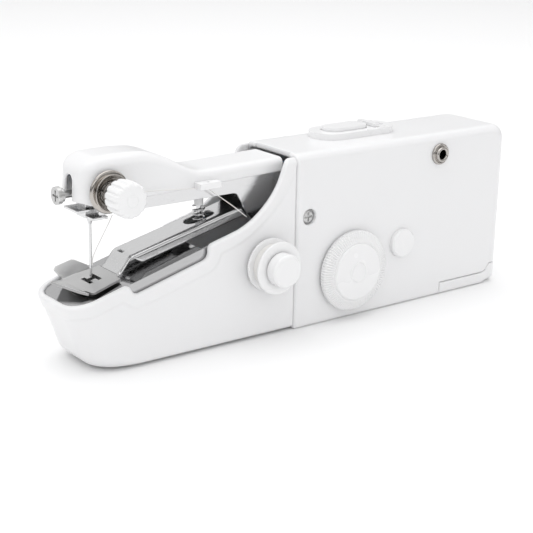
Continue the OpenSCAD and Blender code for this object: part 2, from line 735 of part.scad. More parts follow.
// gear with involute flanks; gap turns a gap instead of a tooth to the given direction
press_a = 25;
function inv_deg(a) = tan(a) * 180 / PI - a;
function flank(r, rb) = r <= rb ? 0 : inv_deg(acos(rb / r));
module gear(n, dir, bore, y0, w, at, gap = false) {
    rp = gear_m * n / 2;
    rb = rp * cos(press_a);
    ro = rp + 0.85 * gear_m;
    ri = rp - 1.15 * gear_m;
    half = 90 / n - backlash / 2 / rp * 180 / PI / 2 + inv_deg(press_a);
    rs = [ri, rp - 0.4 * gear_m, rp, rp + 0.45 * gear_m, ro];
    start = dir + (gap ? 180 / n : 0);
    points = [for (k = [0:n - 1]) let (c = start + k * 360 / n) each concat(
        [for (r = rs) r * [cos(c - half + flank(r, rb)), sin(c - half + flank(r, rb))]],
        [for (i = [len(rs) - 1:-1:0]) rs[i] * [cos(c + half - flank(rs[i], rb)), sin(c + half - flank(rs[i], rb))]])];
    translate([at[0], y0 + w, at[1]]) rotate([90, 0, 0]) linear_extrude(height = w) difference() {
        polygon(points);
        circle(bore);
    }
}

wheel_y0 = -half_d - 0.6;
wheel_w = 4.4;
wheel_ribs = 72;
module hand_wheel() {
    color("white") difference() {
        union() {
            y_turn(wheel_at) polygon([[0, wheel_y0], [wheel_r - 0.5, wheel_y0], [wheel_r - 0.3, wheel_y0 - 2.6],
                [11.6, wheel_y0 - wheel_w + 0.3], [11.3, wheel_y0 - wheel_w + 0.7], [11, wheel_y0 - wheel_w],
                [4.2, wheel_y0 - wheel_w], [4, wheel_y0 - wheel_w - 0.25], [3.6, wheel_y0 - wheel_w - 0.25],
                [3.4, wheel_y0 - wheel_w], [0, wheel_y0 - wheel_w]]);
            for (i = [0:wheel_ribs - 1]) translate([wheel_at[0], 0, wheel_at[1]])
                rotate([0, i * 360 / wheel_ribs, 0]) translate([wheel_r - 0.9, wheel_y0 - 2.4, -0.3])
                    cube([0.9, 2.2, 0.6]);
        }
        y_rod(wheel_at, shaft_r, wheel_y0 - 3, wheel_y0 + 1);
    }
}

module wheel_shaft() {
    color("silver") y_rod(wheel_at, shaft_r, wheel_y0 - 3, crank_y + crank_w);
}
module bush(at, y0, y1, flange_y0, flange_y1) {
    difference() {
        union() {
            y_rod(at, bush_r, y0, y1);
            y_rod(at, bush_r + 1.4, flange_y0, flange_y1);
        }
        y_rod(at, shaft_r + run_fit, y0 - 5, y1 + 5);
    }
}
module wheel_bush() {
    color("goldenrod") bush(wheel_at, -half_d, -inner_d + 1.6, -inner_d, -inner_d + 1.6);
}
module bracket_bush() {
    color("goldenrod") bush(wheel_at, bracket_y - 1.4, bracket_y + bracket_t, bracket_y - 1.4, bracket_y);
}
module main_gear() {
    color("ivory") gear(main_n, idler_dir, shaft_r, gear_y, gear_w, wheel_at);
}

module crank_disc() {
    color("silver") difference() {
        union() {
            y_rod(wheel_at, 7, crank_y, crank_y + crank_w);
            y_rod(crank_at, 1.5, crank_y + crank_w, rod_y - 0.4);
        }
        y_rod(wheel_at, shaft_r, crank_y - 1, crank_y + crank_w + eps);
    }
}

module connecting_rod() {
    color("silver") difference() {
        union() {
            y_rod(crank_at, 3.2, rod_y, rod_y + rod_w);
            y_rod(tail_at, 3.2, rod_y, rod_y + rod_w);
            translate([tail_at[0] - 1.8, rod_y, crank_at[1]]) cube([3.6, rod_w, tail_at[1] - crank_at[1]]);
        }
        y_rod(crank_at, 1.5 + run_fit, rod_y - 1, rod_y + rod_w + 1);
        y_rod(tail_at, rivet_r + run_fit, rod_y - 1, rod_y + rod_w + 1);
    }
}

module rod_rivet() {
    color("silver") {
        y_rod(tail_at, rivet_r, rod_y - 0.2, plate_out + 0.4);
        y_rod(tail_at, rivet_r + 1, rod_y - 1, rod_y - 0.2);
    }
}

module idler_axle() {
    color("silver") y_rod(idler_at, axle_r, -half_d, bracket_y + bracket_t);
}
module idler_gear() {
    color("ivory") difference() {
        union() {
            gear(idler_small_n, idler_dir + 180, 0.1, gear_y, gear_w, idler_at, true);
            gear(idler_large_n, pinion_dir, 0.1, large_y, large_w, idler_at);
            y_rod(idler_at, 4.2, gear_y, large_y + large_w + 1);
        }
        y_rod(idler_at, axle_r + run_fit, -half_d, half_d);
    }
}
module motor_pinion() {
    color("goldenrod") {
        gear(pinion_n, pinion_dir + 180, 0.9, large_y - 0.3, large_w + 0.6, motor_at, true);
        y_rod(motor_at, 0.9, large_y - 1, bracket_y - 0.6);
    }
}

cap_r = 5.8;
module axle_cap() {
    color("white") y_turn(idler_at) polygon([[0, -half_d], [cap_r, -half_d], [cap_r, -half_d - 1.4],
        [cap_r - 0.6, -half_d - 2], [2, -half_d - 2.15], [0, -half_d - 2]]);
}

module motor() {
    color("silver") {
        difference() {
            y_rod(motor_at, motor_r, bracket_y + bracket_t, motor_back_y);
            for (s = [-1, 1]) y_rod(motor_at + [s * motor_screw_x, 0], 0.95, bracket_y, bracket_y + bracket_t + 3);
        }
        y_rod(motor_at, motor_hub_r - 0.05, bracket_y - 0.5, bracket_y + bracket_t);
    }
}
module motor_screws() {
    color("silver") for (s = [-1, 1])
        cross_screw(motor_at + [s * motor_screw_x, 0], 1.9, bracket_y - 1.1, bracket_y, 0.95, bracket_y + 3);
}

// looper and its shaft inside the bed
loop_z = 12;
looper_x = needle_x - 1.9;
module x_rod(y, z, r, x0, x1) {
    translate([x0, y, z]) rotate([0, 90, 0]) cylinder(r = r, h = x1 - x0);
}
module looper_shaft() {
    color("silver") {
        x_rod(0, loop_z, 1.5, looper_x - 2, 1.4);
        difference() {
            translate([-1.6, -2.2, loop_z]) cube([3, 4.4, 12]);
            x_rod(0, loop_z + 9, 1, -3, 3);
        }
    }
}
module looper() {
    color("silver") difference() {
        union() {
            x_rod(0, loop_z, 3, looper_x - 1, looper_x + 1);
            translate([looper_x - 0.5, -1, loop_z]) cube([1, 2, 11]);
            translate([looper_x - 0.5, -3.6, loop_z + 10]) cube([1, 4.6, 1.2]);
        }
        x_rod(0, loop_z, 1.5, looper_x - 3, looper_x + 3);
    }
}
module shaft_bearings() {
    color("white") for (x = [-72, -14]) difference() {
        translate([x, -4, front_base_z + wall]) cube([4, 8, loop_z - front_base_z - wall + 3.4]);
        x_rod(0, loop_z, 1.5 + run_fit, x - 1, x + 5);
    }
}

// feed bar with two toothed dogs, sliding along the slope of the bed
module on_bed(drop) {
    translate([needle_x, 0, rim_at(needle_x) - drop]) rotate([0, -bed_tilt, 0]) children();
}
module feed_bar() {
    color("silver") on_bed(bed_drop + sheet + 0.5) {
        difference() {
            translate([-5, -feed_y - 0.8, -1.2]) cube([30, 2 * feed_y + 1.6, 1.2]);
            translate([-6, -feed_y + 0.8, -2]) cube([16, 2 * feed_y - 1.6, 3]);
        }
        for (s = [-1, 1], k = [0:4]) translate([-4 + k * 1.3, s * feed_y - 0.6, -0.1]) rotate([90, 0, 90])
            linear_extrude(height = 0.9) polygon([[0, 0], [1.2, 0], [1.2, 1.4], [0, 1.4]]);
        for (s = [-1, 1]) translate([-4, s * feed_y - 0.6, -0.1]) cube([6.1, 1.2, 1]);
    }
}
module feed_guide() {
    color("white") on_bed(bed_drop + sheet + 0.5) translate([13, 0, 0]) difference() {
        translate([0, -bed_y + sheet, -2.4]) cube([5, 2 * (bed_y - sheet), 2.85]);
        translate([-1, -feed_y - 0.8 - slide_gap, -1.2 - slide_gap]) cube([7, 2 * feed_y + 1.6 + 2 * slide_gap, 1.2 + 2 * slide_gap]);
    }
}

// bobbin on its post
post_end_y = -26.4;
bobbin_y0 = -front_half_d - 1.4;
flange_t = 1.1;
module bobbin_post() {
    color("white") y_rod(bobbin_at, post_r, post_end_y, -bed_half);
}
module bobbin() {
    color("white") difference() {
        union() {
            for (y = [bobbin_y0 - flange_t, bobbin_y0 - bobbin_w]) y_rod(bobbin_at, bobbin_r, y, y + flange_t);
            y_rod(bobbin_at, 4.4, bobbin_y0 - bobbin_w + flange_t, bobbin_y0 - flange_t);
        }
        y_rod(bobbin_at, post_r + 0.1, -40, 0);
    }
}
module bobbin_thread() {
    color("white") difference() {
        y_rod(bobbin_at, bobbin_r - 1.6, bobbin_y0 - bobbin_w + flange_t, bobbin_y0 - flange_t);
        y_rod(bobbin_at, 4.4, -40, 0);
    }
}
spindle_cap_r = 6.2;
module bobbin_cap() {
    color("white") difference() {
        y_turn(bobbin_at) polygon([[0, bobbin_y0 - bobbin_w - 0.3], [spindle_cap_r, bobbin_y0 - bobbin_w - 0.3],
            [spindle_cap_r, -28.6], [spindle_cap_r - 0.4, -29.2], [spindle_cap_r - 1.2, -29.5], [0, -29.5]]);
        y_rod(bobbin_at, post_r + run_fit, post_end_y - 0.2, 0);
    }
}

// cells stand in two rows of two behind the wall
cell_gap = 0.3;
cell_z = 5.2;
cell_x = [for (i = [0, 1]) door_x + 1.6 + cell_r + i * (2 * cell_r + cell_gap)];
module battery_cells() {
    color("dimgray") for (x = cell_x, s = [-1, 1]) translate([x, s * (cell_r + cell_gap / 2), cell_z]) {
        cylinder(r = cell_r, h = cell_h - 1);
        cylinder(r = 2.75, h = cell_h);
    }
}
contact_z = cell_z + cell_h;
module cell_contacts() {
    color("silver") for (s = [-1, 1]) translate([cell_x[0] - 4, s * 7.2 - 4, contact_z])
        cube([cell_x[1] - cell_x[0] + 8, 8, 0.5]);
}
module cell_plate() {
    color("dimgray") translate([door_x + 0.6, -inner_d, contact_z + 0.5])
        cube([tail_x - wall - door_x - 3, 2 * inner_d, 1.6]);
}
module battery_door() {
    color("white") difference() {
        intersection() {
            case_block(0);
            side_plate(-half_d, half_d) door_outline(0);
        }
        case_block(wall);
    }
}
module door_contacts() {
    color("silver") for (x = cell_x) translate([x - 4, -11, 0]) {
        translate([0, 0, wall]) cube([8, 22, 0.5]);
        for (s = [0, 1]) translate([4, 11 + (2 * s - 1) * (cell_r + cell_gap / 2), wall + 0.5]) cylinder(r1 = 3.2, r2 = 1.6, h = 2.4);
    }
}

module jack_ring() {
    color("silver") difference() {
        union() {
            y_turn(jack_at) polygon([[0, -half_d], [jack_ring_r, -half_d], [jack_ring_r, -half_d - 0.7],
                [jack_ring_r - 0.5, -half_d - 1.1], [jack_ring_r - 0.9, -half_d - 1.1], [jack_ring_r - 1, -half_d - 0.9],
                [jack_ring_r - 1.2, -half_d - 0.9], [jack_ring_r - 1.3, -half_d - 2],
                [jack_ring_r - 1.7, -half_d - 2.3], [0, -half_d - 2.3]]);
            y_rod(jack_at, jack_thread_r, -half_d - 0.5, -inner_d);
        }
        y_rod(jack_at, jack_hole_r, -half_d - 4, 0);
    }
}
jack_len = 10;
module jack_body() {
    color("dimgray") difference() {
        y_rod(jack_at, 3.7, -inner_d, -inner_d + jack_len);
        y_rod(jack_at, jack_hole_r, -half_d, -inner_d + jack_len - 1);
    }
}

module switch_base() {
    color("white") translate([0, switch_y, case_h]) difference() {
        linear_extrude(height = switch_h) slot_outline(switch_x0, switch_len, switch_half);
        translate([0, 0, -1]) linear_extrude(height = switch_h + 2)
            slot_outline(button_x0 - slide_gap, button_len + 2 * slide_gap, button_half + slide_gap);
        translate([lock_x0 - slide_gap, -2 - slide_gap, 1])
            cube([lock_len + lock_travel + 2 * slide_gap, 4 + 2 * slide_gap, switch_h]);
    }
}
module switch_button() {
    color("white") translate([0, switch_y, case_h - wall]) {
        linear_extrude(height = wall + switch_h + button_h) slot_outline(button_x0, button_len, button_half);
        translate([button_x0 + button_len / 2, 0, -1]) cylinder(r = 1.6, h = 1);
    }
}
module switch_lock() {
    color("white") translate([lock_x0, switch_y, case_h + switch_h]) {
        translate([0, -lock_half, 0.1]) cube([lock_len, 2 * lock_half, 1.3]);
        translate([0, -2, -1.1]) cube([lock_len, 4, 1.3]);
    }
}
module micro_switch() {
    color("dimgray") {
        translate([button_x0 + button_len / 2 - 7, bracket_y + bracket_t, case_h - 12.3]) cube([14, 7.2, 7.2]);
        translate([button_x0 + button_len / 2, switch_y, case_h - wall - button_travel - 2.1]) cylinder(r = 1.4, h = 1);
    }
}

motor_case();
back_cover();
front_case();
bed_frame();
gear_bracket();
bracket_screws();
cover_screws();
pivot_screw();
pivot_sleeve();
arm_lever();
arm_cover();
needle_clamp();
needle();
clamp_screw();
tension_post();
tension_discs();
tension_spring();
tension_knob();
thread_guide();
spring_stud();
presser_spring();
arm_thread();
needle_thread();
feed_thread();
presser_lever();
presser_foot();
hand_wheel();
wheel_shaft();
wheel_bush();
bracket_bush();
main_gear();
crank_disc();
connecting_rod();
rod_rivet();
idler_axle();
idler_gear();
axle_cap();
motor();
motor_screws();
motor_pinion();
looper();
looper_shaft();
shaft_bearings();
feed_bar();
feed_guide();
bobbin_post();
bobbin();
bobbin_thread();
bobbin_cap();
battery_cells();
cell_contacts();
cell_plate();
battery_door();
door_contacts();
jack_ring();
jack_body();
switch_base();
switch_button();
switch_lock();
micro_switch();
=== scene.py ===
import json
import math

import bpy
import bmesh
import numpy as np
from mathutils import Matrix, Vector


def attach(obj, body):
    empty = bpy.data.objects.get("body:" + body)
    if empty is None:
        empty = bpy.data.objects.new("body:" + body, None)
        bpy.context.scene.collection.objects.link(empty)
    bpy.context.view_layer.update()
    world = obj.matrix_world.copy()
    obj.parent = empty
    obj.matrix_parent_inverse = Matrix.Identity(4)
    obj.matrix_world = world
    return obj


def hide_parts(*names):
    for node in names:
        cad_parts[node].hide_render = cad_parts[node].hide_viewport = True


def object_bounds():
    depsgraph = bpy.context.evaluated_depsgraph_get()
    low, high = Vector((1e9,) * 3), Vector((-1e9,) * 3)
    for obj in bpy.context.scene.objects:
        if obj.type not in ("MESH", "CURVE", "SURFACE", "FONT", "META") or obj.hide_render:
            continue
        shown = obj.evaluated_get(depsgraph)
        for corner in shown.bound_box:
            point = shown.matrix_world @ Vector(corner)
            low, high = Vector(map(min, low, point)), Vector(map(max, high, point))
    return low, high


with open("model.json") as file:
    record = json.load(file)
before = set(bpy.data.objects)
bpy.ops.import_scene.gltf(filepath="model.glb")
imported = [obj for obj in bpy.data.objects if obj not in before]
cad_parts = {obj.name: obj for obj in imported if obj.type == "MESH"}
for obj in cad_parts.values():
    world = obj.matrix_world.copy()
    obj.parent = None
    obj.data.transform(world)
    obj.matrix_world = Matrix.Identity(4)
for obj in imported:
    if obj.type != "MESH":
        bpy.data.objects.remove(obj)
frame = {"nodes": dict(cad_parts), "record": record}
cadBox = [[float(v) for v in corner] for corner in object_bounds()]
nodes = frame["nodes"]
mm = 0.001
print("frame loaded", len(nodes), "nodes")

# camera and studio
cameraSet = {
    "target": (-6.586 * mm, 0.0, 21.326 * mm),
    "azimuth": -37.179,
    "elevation": 17.569,
    "roll": 1.087,
    "distance": 0.507994,
    "lens": 89.07,
}
studioSet = {
    "floorSize": 6.0,
    "floorTint": (0.92, 0.92, 0.92),
    "skyLevel": 0.92,
    "topLight": 4.0,
    "keyLight": 0.75,
}


def addCamera(s):
    az, el, roll = (math.radians(s[k]) for k in ("azimuth", "elevation", "roll"))
    back = Vector((math.sin(az) * math.cos(el), -math.cos(az) * math.cos(el), math.sin(el)))
    right = Vector((math.cos(az), math.sin(az), 0.0))
    up = back.cross(right)
    r = math.cos(roll) * right + math.sin(roll) * up
    u = -math.sin(roll) * right + math.cos(roll) * up
    cam = bpy.data.cameras.new("camera")
    cam.lens, cam.sensor_width, cam.clip_start = s["lens"], 36.0, 0.01
    obj = bpy.data.objects.new("camera", cam)
    m = Matrix((r, u, back)).transposed().to_4x4()
    m.translation = Vector(s["target"]) + back * s["distance"]
    obj.matrix_world = m
    bpy.context.scene.collection.objects.link(obj)
    bpy.context.scene.camera = obj


def addArea(name, at, aim, size, power):
    light = bpy.data.lights.new(name, "AREA")
    light.shape, light.size, light.size_y = "RECTANGLE", size[0], size[1]
    light.energy = power
    obj = bpy.data.objects.new(name, light)
    way = Vector(aim) - Vector(at)
    obj.location = at
    obj.rotation_euler = way.to_track_quat("-Z", "Y").to_euler()
    bpy.context.scene.collection.objects.link(obj)
    return obj


def addSky(level):
    # even light all round; polished steel sees a softer room with dark flags
    world = bpy.data.worlds.new("studio")
    bpy.context.scene.world = world
    world.use_nodes = True
    nt = world.node_tree
    nt.nodes.clear()
    out = nt.nodes.new("ShaderNodeOutputWorld")
    bg = nt.nodes.new("ShaderNodeBackground")
    room = nt.nodes.new("ShaderNodeBackground")
    mix = nt.nodes.new("ShaderNodeMixShader")
    path = nt.nodes.new("ShaderNodeLightPath")
    where = nt.nodes.new("ShaderNodeTexCoord")
    split = nt.nodes.new("ShaderNodeSeparateXYZ")
    ramp = nt.nodes.new("ShaderNodeValToRGB")
    bg.inputs["Color"].default_value = (1.0, 1.0, 1.005, 1)
    bg.inputs["Strength"].default_value = level
    nt.links.new(where.outputs["Generated"], split.inputs[0])
    nt.links.new(split.outputs["Z"], ramp.inputs["Fac"])
    stops = [(0.0, 0.10), (0.10, 0.015), (0.17, 0.06), (0.27, 0.82), (0.60, 0.88), (0.72, 0.30),
             (0.88, 0.9)]
    ends = ramp.color_ramp.elements
    for e, (p, v) in ((ends[0], stops[0]), (ends[1], stops[-1])):
        e.position, e.color = p, (v, v, v, 1)
    for p, v in stops[1:-1]:
        ramp.color_ramp.elements.new(p).color = (v, v, v, 1)
    nt.links.new(ramp.outputs["Color"], room.inputs["Color"])
    room.inputs["Strength"].default_value = 1.0
    nt.links.new(path.outputs["Is Glossy Ray"], mix.inputs[0])
    nt.links.new(bg.outputs[0], mix.inputs[1])
    nt.links.new(room.outputs[0], mix.inputs[2])
    nt.links.new(mix.outputs[0], out.inputs["Surface"])


addCamera(cameraSet)
addSky(studioSet["skyLevel"])
addArea("topBox", (-0.05, 0.14, 0.9), (0, 0, 0), (1.4, 1.0), studioSet["topLight"])
addArea("keyBox", (-0.5, -0.75, 0.55), (0, 0, 0.02), (0.7, 0.5), studioSet["keyLight"])
bpy.context.scene.view_settings.view_transform = "Standard"
bpy.context.scene.view_settings.look = "None"
print("camera and studio")


# shader groups
def newGroup(name, ins, outs):
    g = bpy.data.node_groups.new(name, "ShaderNodeTree")
    for label, kind, value in ins:
        s = g.interface.new_socket(label, in_out="INPUT", socket_type=kind)
        s.default_value = value
    for label, kind in outs:
        g.interface.new_socket(label, in_out="OUTPUT", socket_type=kind)
    return g, g.nodes.new("NodeGroupInput"), g.nodes.new("NodeGroupOutput")


def mathNode(nt, op, a, b=None, clamp=False):
    n = nt.nodes.new("ShaderNodeMath")
    n.operation, n.use_clamp = op, clamp
    for i, v in enumerate((a, b)):
        if v is None:
            continue
        if isinstance(v, (int, float)):
            n.inputs[i].default_value = v
        else:
            nt.links.new(v, n.inputs[i])
    return n.outputs[0]


def makeEdgeGroup():
    # rounds corners in the shading and marks them; materials paint the marked edges lighter, partly as edge
    # wear and partly as a painted highlight
    g, gi, go = newGroup("edgeWearAndHighlight", [("Radius", "NodeSocketFloat", 0.0005)],
                         [("Normal", "NodeSocketVector"), ("Edge", "NodeSocketFloat")])
    bev = g.nodes.new("ShaderNodeBevel")
    bev.samples = 8
    geo = g.nodes.new("ShaderNodeNewGeometry")
    dot = g.nodes.new("ShaderNodeVectorMath")
    dot.operation = "DOT_PRODUCT"
    g.links.new(gi.outputs["Radius"], bev.inputs["Radius"])
    g.links.new(bev.outputs[0], dot.inputs[0])
    g.links.new(geo.outputs["Normal"], dot.inputs[1])
    flat = mathNode(g, "SUBTRACT", 1.0, dot.outputs["Value"], True)
    g.links.new(mathNode(g, "MULTIPLY", flat, 4.0, True), go.inputs["Edge"])
    g.links.new(bev.outputs[0], go.inputs["Normal"])
    return g


def makeMouldGroup():
    # moulded plastic: faint waviness, fine grain and slow cloudy tone
    g, gi, go = newGroup("mouldGrain",
                         [("Grain", "NodeSocketFloat", 900.0), ("Wave", "NodeSocketFloat", 60.0)],
                         [("Height", "NodeSocketFloat"), ("Cloud", "NodeSocketFloat")])
    where = g.nodes.new("ShaderNodeTexCoord")
    fine, wave, cloud = (g.nodes.new("ShaderNodeTexNoise") for _ in range(3))
    for n, d in ((fine, 2.0), (wave, 1.0), (cloud, 3.0)):
        g.links.new(where.outputs["Object"], n.inputs["Vector"])
        n.inputs["Detail"].default_value = d
    g.links.new(gi.outputs["Grain"], fine.inputs["Scale"])
    g.links.new(gi.outputs["Wave"], wave.inputs["Scale"])
    cloud.inputs["Scale"].default_value = 38.0
    h = mathNode(g, "ADD", mathNode(g, "MULTIPLY", fine.outputs["Fac"], 0.25), wave.outputs["Fac"])
    g.links.new(h, go.inputs["Height"])
    g.links.new(cloud.outputs["Fac"], go.inputs["Cloud"])
    return g


def makeBrushGroup():
    # rolled steel: long streaks along one way, and sparse finer scratches
    g, gi, go = newGroup("rolledSteel", [("Stretch", "NodeSocketVector", (60, 900, 900))],
                         [("Streak", "NodeSocketFloat"), ("Scratch", "NodeSocketFloat")])
    where = g.nodes.new("ShaderNodeTexCoord")
    scale = g.nodes.new("ShaderNodeVectorMath")
    scale.operation = "MULTIPLY"
    g.links.new(where.outputs["Object"], scale.inputs[0])
    g.links.new(gi.outputs["Stretch"], scale.inputs[1])
    a = g.nodes.new("ShaderNodeTexNoise")
    a.inputs["Scale"].default_value = 1.0
    a.inputs["Detail"].default_value = 4.0
    g.links.new(scale.outputs[0], a.inputs["Vector"])
    b = g.nodes.new("ShaderNodeTexNoise")
    b.inputs["Scale"].default_value = 3.1
    b.inputs["Detail"].default_value = 1.0
    g.links.new(scale.outputs[0], b.inputs["Vector"])
    ramp = g.nodes.new("ShaderNodeValToRGB")
    ramp.color_ramp.elements[0].position = 0.62
    ramp.color_ramp.elements[1].position = 0.72
    g.links.new(b.outputs["Fac"], ramp.inputs["Fac"])
    g.links.new(a.outputs["Fac"], go.inputs["Streak"])
    g.links.new(ramp.outputs["Color"], go.inputs["Scratch"])
    return g


edgeGroup = makeEdgeGroup()
mouldGroup = makeMouldGroup()
brushGroup = makeBrushGroup()


def place(nt, group, **values):
    n = nt.nodes.new("ShaderNodeGroup")
    n.node_tree = group
    for k, v in values.items():
        n.inputs[k].default_value = v
    return n


def mixColor(nt, fac, a, b):
    n = nt.nodes.new("ShaderNodeMix")
    n.data_type = "RGBA"
    for sock, v in ((n.inputs[6], a), (n.inputs[7], b)):
        if isinstance(v, tuple):
            sock.default_value = (*v, 1)
        else:
            nt.links.new(v, sock)
    if isinstance(fac, (int, float)):
        n.inputs[0].default_value = fac
    else:
        nt.links.new(fac, n.inputs[0])
    return n.outputs[2]


def mapRange(nt, value, lo, hi, low=0.0, high=1.0):
    n = nt.nodes.new("ShaderNodeMapRange")
    nt.links.new(value, n.inputs["Value"])
    n.inputs["From Min"].default_value, n.inputs["From Max"].default_value = low, high
    n.inputs["To Min"].default_value, n.inputs["To Max"].default_value = lo, hi
    return n.outputs["Result"]


def newMaterial(name):
    m = bpy.data.materials.new(name)
    m.use_nodes = True
    nt = m.node_tree
    return m, nt, nt.nodes["Principled BSDF"]


def bumped(nt, height, normal, distance):
    n = nt.nodes.new("ShaderNodeBump")
    n.inputs["Strength"].default_value = 1.0
    n.inputs["Distance"].default_value = distance
    nt.links.new(height, n.inputs["Height"])
    if normal is not None:
        nt.links.new(normal, n.inputs["Normal"])
    return n.outputs[0]


def plasticMaterial(name, s):
    m, nt, bsdf = newMaterial(name)
    grain = place(nt, mouldGroup, Grain=s["grain"], Wave=s["wave"])
    edge = place(nt, edgeGroup, Radius=s["edge"])
    dark = tuple(v * s["cloud"] for v in s["color"])
    tone = mixColor(nt, grain.outputs["Cloud"], dark, s["color"])
    # edges mixed toward the lighter rim colour: partly edge wear, partly painted highlight
    tone = mixColor(nt, edge.outputs["Edge"], tone, s["rim"])
    nt.links.new(tone, bsdf.inputs["Base Color"])
    rough = mapRange(nt, grain.outputs["Cloud"], s["rough"][0], s["rough"][1])
    nt.links.new(rough, bsdf.inputs["Roughness"])
    relief = bumped(nt, grain.outputs["Height"], edge.outputs["Normal"], s["bump"])
    nt.links.new(relief, bsdf.inputs["Normal"])
    bsdf.inputs["IOR"].default_value = 1.5
    if s.get("glow"):
        bsdf.inputs["Subsurface Weight"].default_value = s["glow"]
        bsdf.inputs["Subsurface Radius"].default_value = (0.9, 0.95, 1.0)
        bsdf.inputs["Subsurface Scale"].default_value = 0.0012
    return m


def steelMaterial(name, s):
    m, nt, bsdf = newMaterial(name)
    brush = place(nt, brushGroup, Stretch=s["stretch"])
    edge = place(nt, edgeGroup, Radius=s["edge"])
    dull = tuple(v * s["dull"] for v in s["color"])
    tone = mixColor(nt, brush.outputs["Streak"], dull, s["color"])
    # edges mixed toward the lighter rim colour: partly edge wear, partly painted highlight
    tone = mixColor(nt, edge.outputs["Edge"], tone, s["rim"])
    nt.links.new(tone, bsdf.inputs["Base Color"])
    rough = mapRange(nt, brush.outputs["Streak"], s["rough"][0], s["rough"][1], 0.3, 0.7)
    scratch = mathNode(nt, "MULTIPLY", brush.outputs["Scratch"], 0.08)
    rough = mathNode(nt, "ADD", rough, scratch, True)
    nt.links.new(rough, bsdf.inputs["Roughness"])
    relief = bumped(nt, brush.outputs["Streak"], edge.outputs["Normal"], s["bump"])
    nt.links.new(relief, bsdf.inputs["Normal"])
    bsdf.inputs["Metallic"].default_value = 1.0
    if s.get("along"):
        bsdf.inputs["Anisotropic"].default_value = s["along"]
    return m


def threadMaterial(name, color):
    # twisted cotton: fine noise tone and bump with a soft sheen
    m, nt, bsdf = newMaterial(name)
    where = nt.nodes.new("ShaderNodeTexCoord")
    fuzz = nt.nodes.new("ShaderNodeTexNoise")
    fuzz.inputs["Scale"].default_value = 4200.0
    fuzz.inputs["Detail"].default_value = 3.0
    nt.links.new(where.outputs["Object"], fuzz.inputs["Vector"])
    dark = tuple(v * 0.82 for v in color)
    nt.links.new(mixColor(nt, fuzz.outputs["Fac"], dark, color), bsdf.inputs["Base Color"])
    nt.links.new(bumped(nt, fuzz.outputs["Fac"], None, 0.00004), bsdf.inputs["Normal"])
    bsdf.inputs["Roughness"].default_value = 0.75
    bsdf.inputs["Sheen Weight"].default_value = 0.35
    bsdf.inputs["Sheen Roughness"].default_value = 0.4
    return m


# rim is a lighter colour painted on edges: partly edge wear, partly painted highlight
shellSet = {"color": (0.80, 0.80, 0.805), "rim": (0.83, 0.83, 0.835), "cloud": 0.985,
            "rough": (0.26, 0.34), "grain": 1800.0, "wave": 70.0, "bump": 0.00002, "edge": 0.0005, "glow": 0.15}
partSet = dict(shellSet, color=(0.82, 0.82, 0.823), rough=(0.24, 0.3), edge=0.00018, glow=0.0)
fineSet = dict(partSet, edge=0.00003)
gearSet = dict(shellSet, color=(0.70, 0.69, 0.64), rim=(0.74, 0.73, 0.68), rough=(0.42, 0.5),
               edge=0.0002, glow=0.0)
blackSet = {"color": (0.018, 0.018, 0.02), "rim": (0.04, 0.04, 0.042), "cloud": 0.8,
            "rough": (0.45, 0.6), "grain": 2400.0, "wave": 120.0, "bump": 0.00003, "edge": 0.0002}
wrapSet = dict(blackSet, color=(0.03, 0.035, 0.045), rim=(0.08, 0.08, 0.09), rough=(0.2, 0.28))
steelSet = {"color": (0.74, 0.74, 0.745), "rim": (0.86, 0.86, 0.86), "dull": 0.9, "rough": (0.13, 0.24),
            "stretch": (60, 1400, 1400), "bump": 0.0000012, "edge": 0.00025, "along": 0.35}
zincSet = dict(steelSet, color=(0.60, 0.60, 0.595), rough=(0.25, 0.38), stretch=(900, 900, 900),
               along=0.0)
chromeSet = dict(steelSet, color=(0.50, 0.475, 0.45), rim=(0.66, 0.64, 0.62), rough=(0.12, 0.16),
                 stretch=(90, 90, 90), edge=0.00008, along=0.0)
canSet = dict(steelSet, color=(0.55, 0.55, 0.55), rough=(0.28, 0.4), stretch=(900, 60, 900))
brassSet = dict(steelSet, color=(0.72, 0.52, 0.24), rim=(0.85, 0.68, 0.38), rough=(0.22, 0.35),
                stretch=(900, 900, 900))

finishes = {
    "white_shell": plasticMaterial("whiteShell", shellSet),
    "white_part": plasticMaterial("whitePart", partSet),
    "gear_white": plasticMaterial("gearPlastic", gearSet),
    "black_plastic": plasticMaterial("blackPlastic", blackSet),
    "cell_wrap": plasticMaterial("cellWrap", wrapSet),
    "nickel_steel": steelMaterial("nickelSteel", steelSet),
    "zinc_screw": steelMaterial("zincScrew", zincSet),
    "chrome_ring": steelMaterial("chromeRing", chromeSet),
    "motor_can": steelMaterial("motorCan", canSet),
    "brass": steelMaterial("brassPart", brassSet),
    "white_thread": threadMaterial("cottonThread", (0.82, 0.81, 0.79)),
}
darkSet = dict(steelSet, color=(0.30, 0.285, 0.27), rim=(0.6, 0.58, 0.56), rough=(0.2, 0.32),
               stretch=(600, 600, 600), along=0.0)
satinSet = dict(steelSet, color=(0.60, 0.60, 0.60), rough=(0.3, 0.42), stretch=(90, 1100, 1100),
                bump=0.000002)
bedSet = dict(steelSet, color=(0.50, 0.50, 0.505), rim=(0.7, 0.7, 0.7), rough=(0.07, 0.13), along=0.0)
turnedSet = dict(steelSet, color=(0.52, 0.49, 0.46), rim=(0.7, 0.68, 0.66), rough=(0.14, 0.2),
                 stretch=(120, 120, 120), edge=0.00003, along=0.0)
extraFinishes = {
    "bed_steel": (steelMaterial("bedSteel", bedSet), "nickel_steel"),
    "turned_steel": (steelMaterial("turnedSteel", turnedSet), "nickel_steel"),
    "fine_white": (plasticMaterial("fineWhite", fineSet), "white_part"),
    "dark_steel": (steelMaterial("darkSteel", darkSet), "nickel_steel"),
    "satin_steel": (steelMaterial("satinSteel", satinSet), "nickel_steel"),
}
print("materials")


